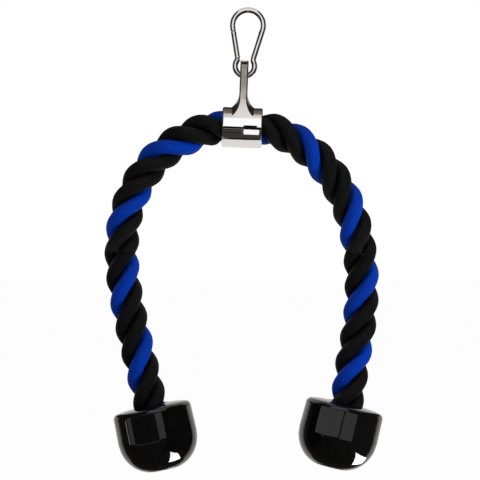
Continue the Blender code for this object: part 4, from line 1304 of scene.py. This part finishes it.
smoothed(applied(gate), [hook_chrome], GATE_SHARP_ANGLE)
fitted(gate, ["gate"], "gate")

pin_steel = coated(
    "pin_steel", polish_marks, gloss=0.12, relief=0.00001, colour=CHROME, Haze=0.08
)
cross_pin("hinge_rivet", RIVET_RADIUS, RIVET_LENGTH, RIVET_DOME, 0.0, "gate_rivet", "hook")
cross_pin(
    "latch_pin", LATCH_PIN_RADIUS, LATCH_PIN_LENGTH, LATCH_PIN_DOME, pin_height,
    "gate_latch_pin", "gate",
)

# Gate spring and plunger: inside the gate a small coil spring of piano wire pushes a steel plunger
# down onto the flat of the hook's heel, which snaps the gate shut. The coil is squeezed between
# the gate and the plunger.

PLUNGER_LENGTH = 0.0034
PLUNGER_TIP = 0.0004
SPRING_WIRE = 0.00032
SPRING_TURNS = 8
SPRING_WALL_PLAY = 0.0002
SPRING_TURN_STEPS = 28
SPRING_WIRE_SIDES = 12
PLUNGER_TIP_CUTS = 5
PLUNGER_SHARP_ANGLE = 40
PIANO_WIRE = (0.40, 0.40, 0.42, 1)

plunger_low = HOOK_HEEL_HEIGHT + FINE_FIT
plunger_high = plunger_low + PLUNGER_LENGTH
plunger_radius = GATE_BORE_RADIUS - FINE_FIT
plunger_section = [(0, plunger_low)]
for a in quarter(PLUNGER_TIP_CUTS):
    inset, rise = PLUNGER_TIP * (1 - math.sin(a)), PLUNGER_TIP * (1 - math.cos(a))
    plunger_section.append((plunger_radius - inset, plunger_low + rise))
plunger_section += [
    (plunger_radius, plunger_high - FINE_FIT), (plunger_radius - FINE_FIT, plunger_high),
    (0, plunger_high),
]
bm = moved(turned(plunger_section, PIN_SIDES), gate_place)
plunger = finished("heel_plunger", bm, [pin_steel], PLUNGER_SHARP_ANGLE)
fitted(plunger, ["gate_plunger"], "gate_plunger")

coil_radius = GATE_BORE_RADIUS - SPRING_WIRE / 2 - SPRING_WALL_PLAY
coil_low = plunger_high + SPRING_WIRE / 2 + FINE_FIT
coil_rise = gate_bore_end - SPRING_WIRE / 2 - FINE_FIT - coil_low
coil = []
for i in range(SPRING_TURNS * SPRING_TURN_STEPS + 1):
    share = i / (SPRING_TURNS * SPRING_TURN_STEPS)
    turn = math.tau * SPRING_TURNS * share
    across, deep = coil_radius * math.cos(turn), coil_radius * math.sin(turn)
    coil.append(Vector((across, deep, coil_low + coil_rise * share)))
bm = bmesh.new()
drawn_wire(bm, coil, SPRING_WIRE / 2, SPRING_WIRE_SIDES)
piano_wire = coated("piano_wire", zinc_plate, gloss=0.25, relief=PIT_DEPTH, Plate=PIANO_WIRE)
spring = finished("closing_spring", moved(bm, gate_place), [piano_wire], PIN_SHARP_ANGLE)
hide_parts("gate_spring")
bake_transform(spring)

# Studio: a pale floor just under the end caps, one broad soft lamp from the right and a weaker one
# from the left. White, grey and dark cards stand round the object. Each glows on one side only, and
# only polished surfaces show it.

FLOOR_GAP = 0.010
FLOOR_SIZE = 30.0
FLOOR_WHITE = grey(0.9)
FLOOR_ROUGHNESS = 0.9
FLOOR_GLOW = 1.04
FLOOR_GLOW_SHARE = 0.92
CARD_AIM = (0, 0, -0.1)
LAMP_AIM = (0, 0, -0.2)
CAP_CARD_DISTANCE = 0.12
SLEEVE_CARD_DISTANCE = 0.15
GLINT_DISTANCE = 0.04
GLINT_STRENGTH = 20.0
ROOM_BEHIND = (0.45, 0.66)
ROOM_BAND_MIDDLE = 0.18
ROOM_BAND_EDGE = (0.36, 0.42, 1.0, 0.0)
ROOM_DARK = (0.045, 0.04, 0.037, 1)
ROOM_BRIGHT = (0.80, 0.78, 0.76, 1)
ROOM_LIGHT = grey(0.30)


def glow_card(name, corners, strength, aim, tint=WHITE):
    """A card that glows on the side that faces its aim, and that only reflections show."""
    bm = bmesh.new()
    face = bm.faces.new([bm.verts.new(corner) for corner in corners])
    bm.normal_update()
    if face.normal.dot(Vector(aim) - face.calc_center_median()) < 0:
        face.normal_flip()
    card = new_object(name, bm)
    material = bpy.data.materials.new(name)
    material.use_nodes = True
    tree = material.node_tree
    tree.nodes.clear()
    back = node(tree, "ShaderNodeNewGeometry").outputs["Backfacing"]
    front = maths(tree, "MULTIPLY", maths(tree, "SUBTRACT", 1.0, back), strength)
    glow = node(tree, "ShaderNodeEmission", Color=tint, Strength=front)
    node(tree, "ShaderNodeOutputMaterial", Surface=glow.outputs["Emission"])
    card.data.materials.append(material)
    for kind in ("camera", "diffuse", "transmission", "volume_scatter", "shadow"):
        setattr(card, f"visible_{kind}", False)


def stage_card(name, centre, across, up, strength, aim=CARD_AIM, tint=WHITE):
    """A rectangular card from its middle and two half sides."""
    centre, across, up = Vector(centre), Vector(across), Vector(up)
    corners = [centre + across * x + up * y for x, y in ((-1, -1), (1, -1), (1, 1), (-1, 1))]
    glow_card(name, corners, strength, aim, tint)


def sleeve_card(name, left, right, top, bottom, strength, distance=SLEEVE_CARD_DISTANCE):
    """An upright card in front of the sleeve, leaning with it, placed from the sleeve's middle."""
    lean = Matrix.Rotation(BRACKET_LEAN, 3, "Y")
    edges = ((left, top), (right, top), (right, bottom), (left, bottom))
    corners = [sleeve_middle + lean @ Vector((x, -distance, z)) for x, z in edges]
    glow_card(name, corners, strength, sleeve_middle)


def cap_card(name, side, left, right, top, bottom, strength):
    """A card that an end cap's side shows between two offsets from its middle, as shares of its
    radius, and between two depths below its shoulder."""
    far, corners = CAP_CARD_DISTANCE, []
    for share, depth in ((left, top), (right, top), (right, bottom), (left, bottom)):
        turn = 2 * math.asin(share) - math.asin(share * CAP_SIDE_RADIUS / far)
        corner = Vector((far * math.sin(turn), -far * math.cos(turn), -depth))
        corners.append(CAP_PLACES[side] @ corner)
    glow_card(name, corners, strength, CAP_PLACES[side].translation)


def glint_card(side, *ways):
    """A bright card that shows as a small glint low on an end cap. Each corner is given by a point
    of the cap and by the way that its reflection goes."""
    corners = [Vector(point) + GLINT_DISTANCE * Vector(way) for point, way in ways]
    glow_card(f"{side}_glint_card", corners, GLINT_STRENGTH, CAP_PLACES[side].translation)


def softbox(name, place, size, watts):
    """A square lamp that faces the rope and shows in no reflection."""
    data = bpy.data.lights.new(name, "AREA")
    data.size = size
    data.energy = watts
    lamp = bpy.data.objects.new(name, data)
    lamp.location = place
    lamp.rotation_euler = (Vector(LAMP_AIM) - Vector(place)).to_track_quat("-Z", "Y").to_euler()
    lamp.visible_glossy = False
    bpy.context.scene.collection.objects.link(lamp)


# Each card's middle, half its width, half its height and its glow.
stage_card("front_card", (0, -0.5, 0.511), (0.32, 0, 0), (0, 0, 0.575), 1.15)
stage_card("overhead_card", (0, -0.09, 0.6), (0.4, 0, 0), (0, 0.45, 0), 0.9)
stage_card("tongue_top_card", (-0.0038, 0.03, -0.0125), (0.0060, 0, 0), (0, 0, 0.0275), 1.3)
stage_card("tongue_dark_card", (-0.0038, 0.0035, -0.015), (0.012, 0, 0), (0, 0.0115, 0), 0.01)
stage_card(
    "under_card", (0, 0.437, -0.20), (0.2, 0, 0), (0, 0.473, 0), 0.82, tint=(1, 0.97, 0.94, 1)
)
stage_card(
    "over_caps_card", (0, 0.45, -0.201), (0.2, 0, 0), (0, 0.46, 0), 0.8, aim=(0, 0, -0.4)
)
stage_card("between_caps_card", (-0.032, -0.055, -0.35), (0, 0.05, 0), (0, 0, 0.06), 0.0)

# Each card's left, right, top and bottom edge, its glow, and its distance where that differs.
sleeve_card("sleeve_bump_card", 0.0010, 0.0130, 0.030, -0.010, 0.005, distance=0.14)
sleeve_card("sleeve_black_card_1", -0.0168, 0.0168, 0.006, -0.019, 0.005)
sleeve_card("sleeve_line_card", -0.0168, 0.0014, -0.021, -0.029, 0.22)
sleeve_card("sleeve_black_card_2", -0.0168, 0.0014, -0.031, -0.047, 0.005)
sleeve_card("sleeve_grey_card", -0.0168, 0.0014, -0.048, -0.066, 0.08)
sleeve_card("sleeve_black_card_3", -0.0168, 0.0014, -0.067, -0.090, 0.015)
sleeve_card("sleeve_window_card", 0.0014, 0.0149, -0.028, -0.118, 1.1)
sleeve_card("sleeve_black_card_4", -0.0168, 0.0168, -0.300, -0.460, 0.008)

# Each card's cap, its left, right, top and bottom edge as the cap shows them, and its glow.
cap_card("left_line_card", "left", -0.705, -0.69, 0.006, 0.038, 3.0)
cap_card("left_bar_card_1", "left", -0.66, -0.56, -0.004, 0.040, 0.55)
cap_card("left_bar_card_2", "left", 0.07, 0.24, -0.004, 0.040, 0.65)
cap_card("left_top_bar_card", "left", -0.60, 0.24, -0.012, -0.005, 0.40)
cap_card("left_low_bar_card", "left", -0.60, 0.10, 0.041, 0.045, 0.30)
cap_card("right_panel_card_1", "right", -0.61, -0.015, -0.012, 0.040, 0.75)
cap_card("right_panel_card_2", "right", 0.02, 0.34, -0.012, 0.044, 0.68)

glint_card(
    "left",
    ((-0.0655, -0.0291, -0.3659), (0.572, -0.489, -0.658)),
    ((-0.0543, -0.0207, -0.3671), (0.805, 0.262, -0.532)),
    ((-0.0568, -0.0198, -0.3713), (0.653, 0.371, -0.661)),
    ((-0.0670, -0.0235, -0.3747), (0.383, 0.139, -0.913)),
)
glint_card(
    "right",
    ((0.0885, -0.0269, -0.3663), (0.656, -0.286, -0.698)),
    ((0.0975, -0.0146, -0.3716), (0.581, 0.626, -0.520)),
    ((0.0939, -0.0130, -0.3758), (0.412, 0.714, -0.567)),
    ((0.0856, -0.0189, -0.3768), (0.305, 0.426, -0.852)),
)
softbox("key", (1.6, -0.9, -0.30), size=0.8, watts=30)
softbox("fill", (-1.2, -1.6, 0.9), size=1.2, watts=6)

bm = bmesh.new()
bmesh.ops.create_grid(bm, x_segments=1, y_segments=1, size=FLOOR_SIZE / 2)
bmesh.ops.translate(bm, vec=UP * (cad_box[0].z - FLOOR_GAP), verts=bm.verts)
floor = new_object("floor", bm)
floor_paper, paper_tree, paper = new_material("floor_paper", FLOOR_ROUGHNESS)
paper.inputs["Base Color"].default_value = FLOOR_WHITE
glow = node(paper_tree, "ShaderNodeEmission", Color=WHITE, Strength=FLOOR_GLOW)
seen = node(paper_tree, "ShaderNodeLightPath").outputs["Is Camera Ray"]
glowing = maths(paper_tree, "MULTIPLY", seen, FLOOR_GLOW_SHARE)
blend = node(paper_tree, "ShaderNodeMixShader", Fac=glowing)
paper_tree.links.new(paper.outputs["BSDF"], blend.inputs[1])
paper_tree.links.new(glow.outputs["Emission"], blend.inputs[2])
paper_out = paper_tree.nodes["Material Output"]
paper_tree.links.new(blend.outputs["Shader"], paper_out.inputs["Surface"])
floor.data.materials.append(floor_paper)
floor.visible_glossy = False

world = bpy.data.worlds.new("studio")
world.use_nodes = True
bpy.context.scene.world = world
room = world.node_tree
room.nodes.clear()
around = node(room, "ShaderNodeTexCoord").outputs["Generated"]
way = node(room, "ShaderNodeSeparateXYZ", Vector=around).outputs
lifted = maths(room, "ADD", way["Z"], ROOM_BAND_MIDDLE)
band = ranged(room, maths(room, "ABSOLUTE", lifted), *ROOM_BAND_EDGE)
bright = maths(room, "MULTIPLY", ranged(room, way["Y"], *ROOM_BEHIND), band)
paths = node(room, "ShaderNodeLightPath").outputs
colour = mixed(room, bright, ROOM_DARK, ROOM_BRIGHT)
colour = mixed(room, paths["Is Glossy Ray"], ROOM_LIGHT, colour)
colour = mixed(room, paths["Is Camera Ray"], colour, WHITE)
background = node(room, "ShaderNodeBackground", Color=colour, Strength=1.0)
node(room, "ShaderNodeOutputWorld", Surface=background.outputs["Background"])
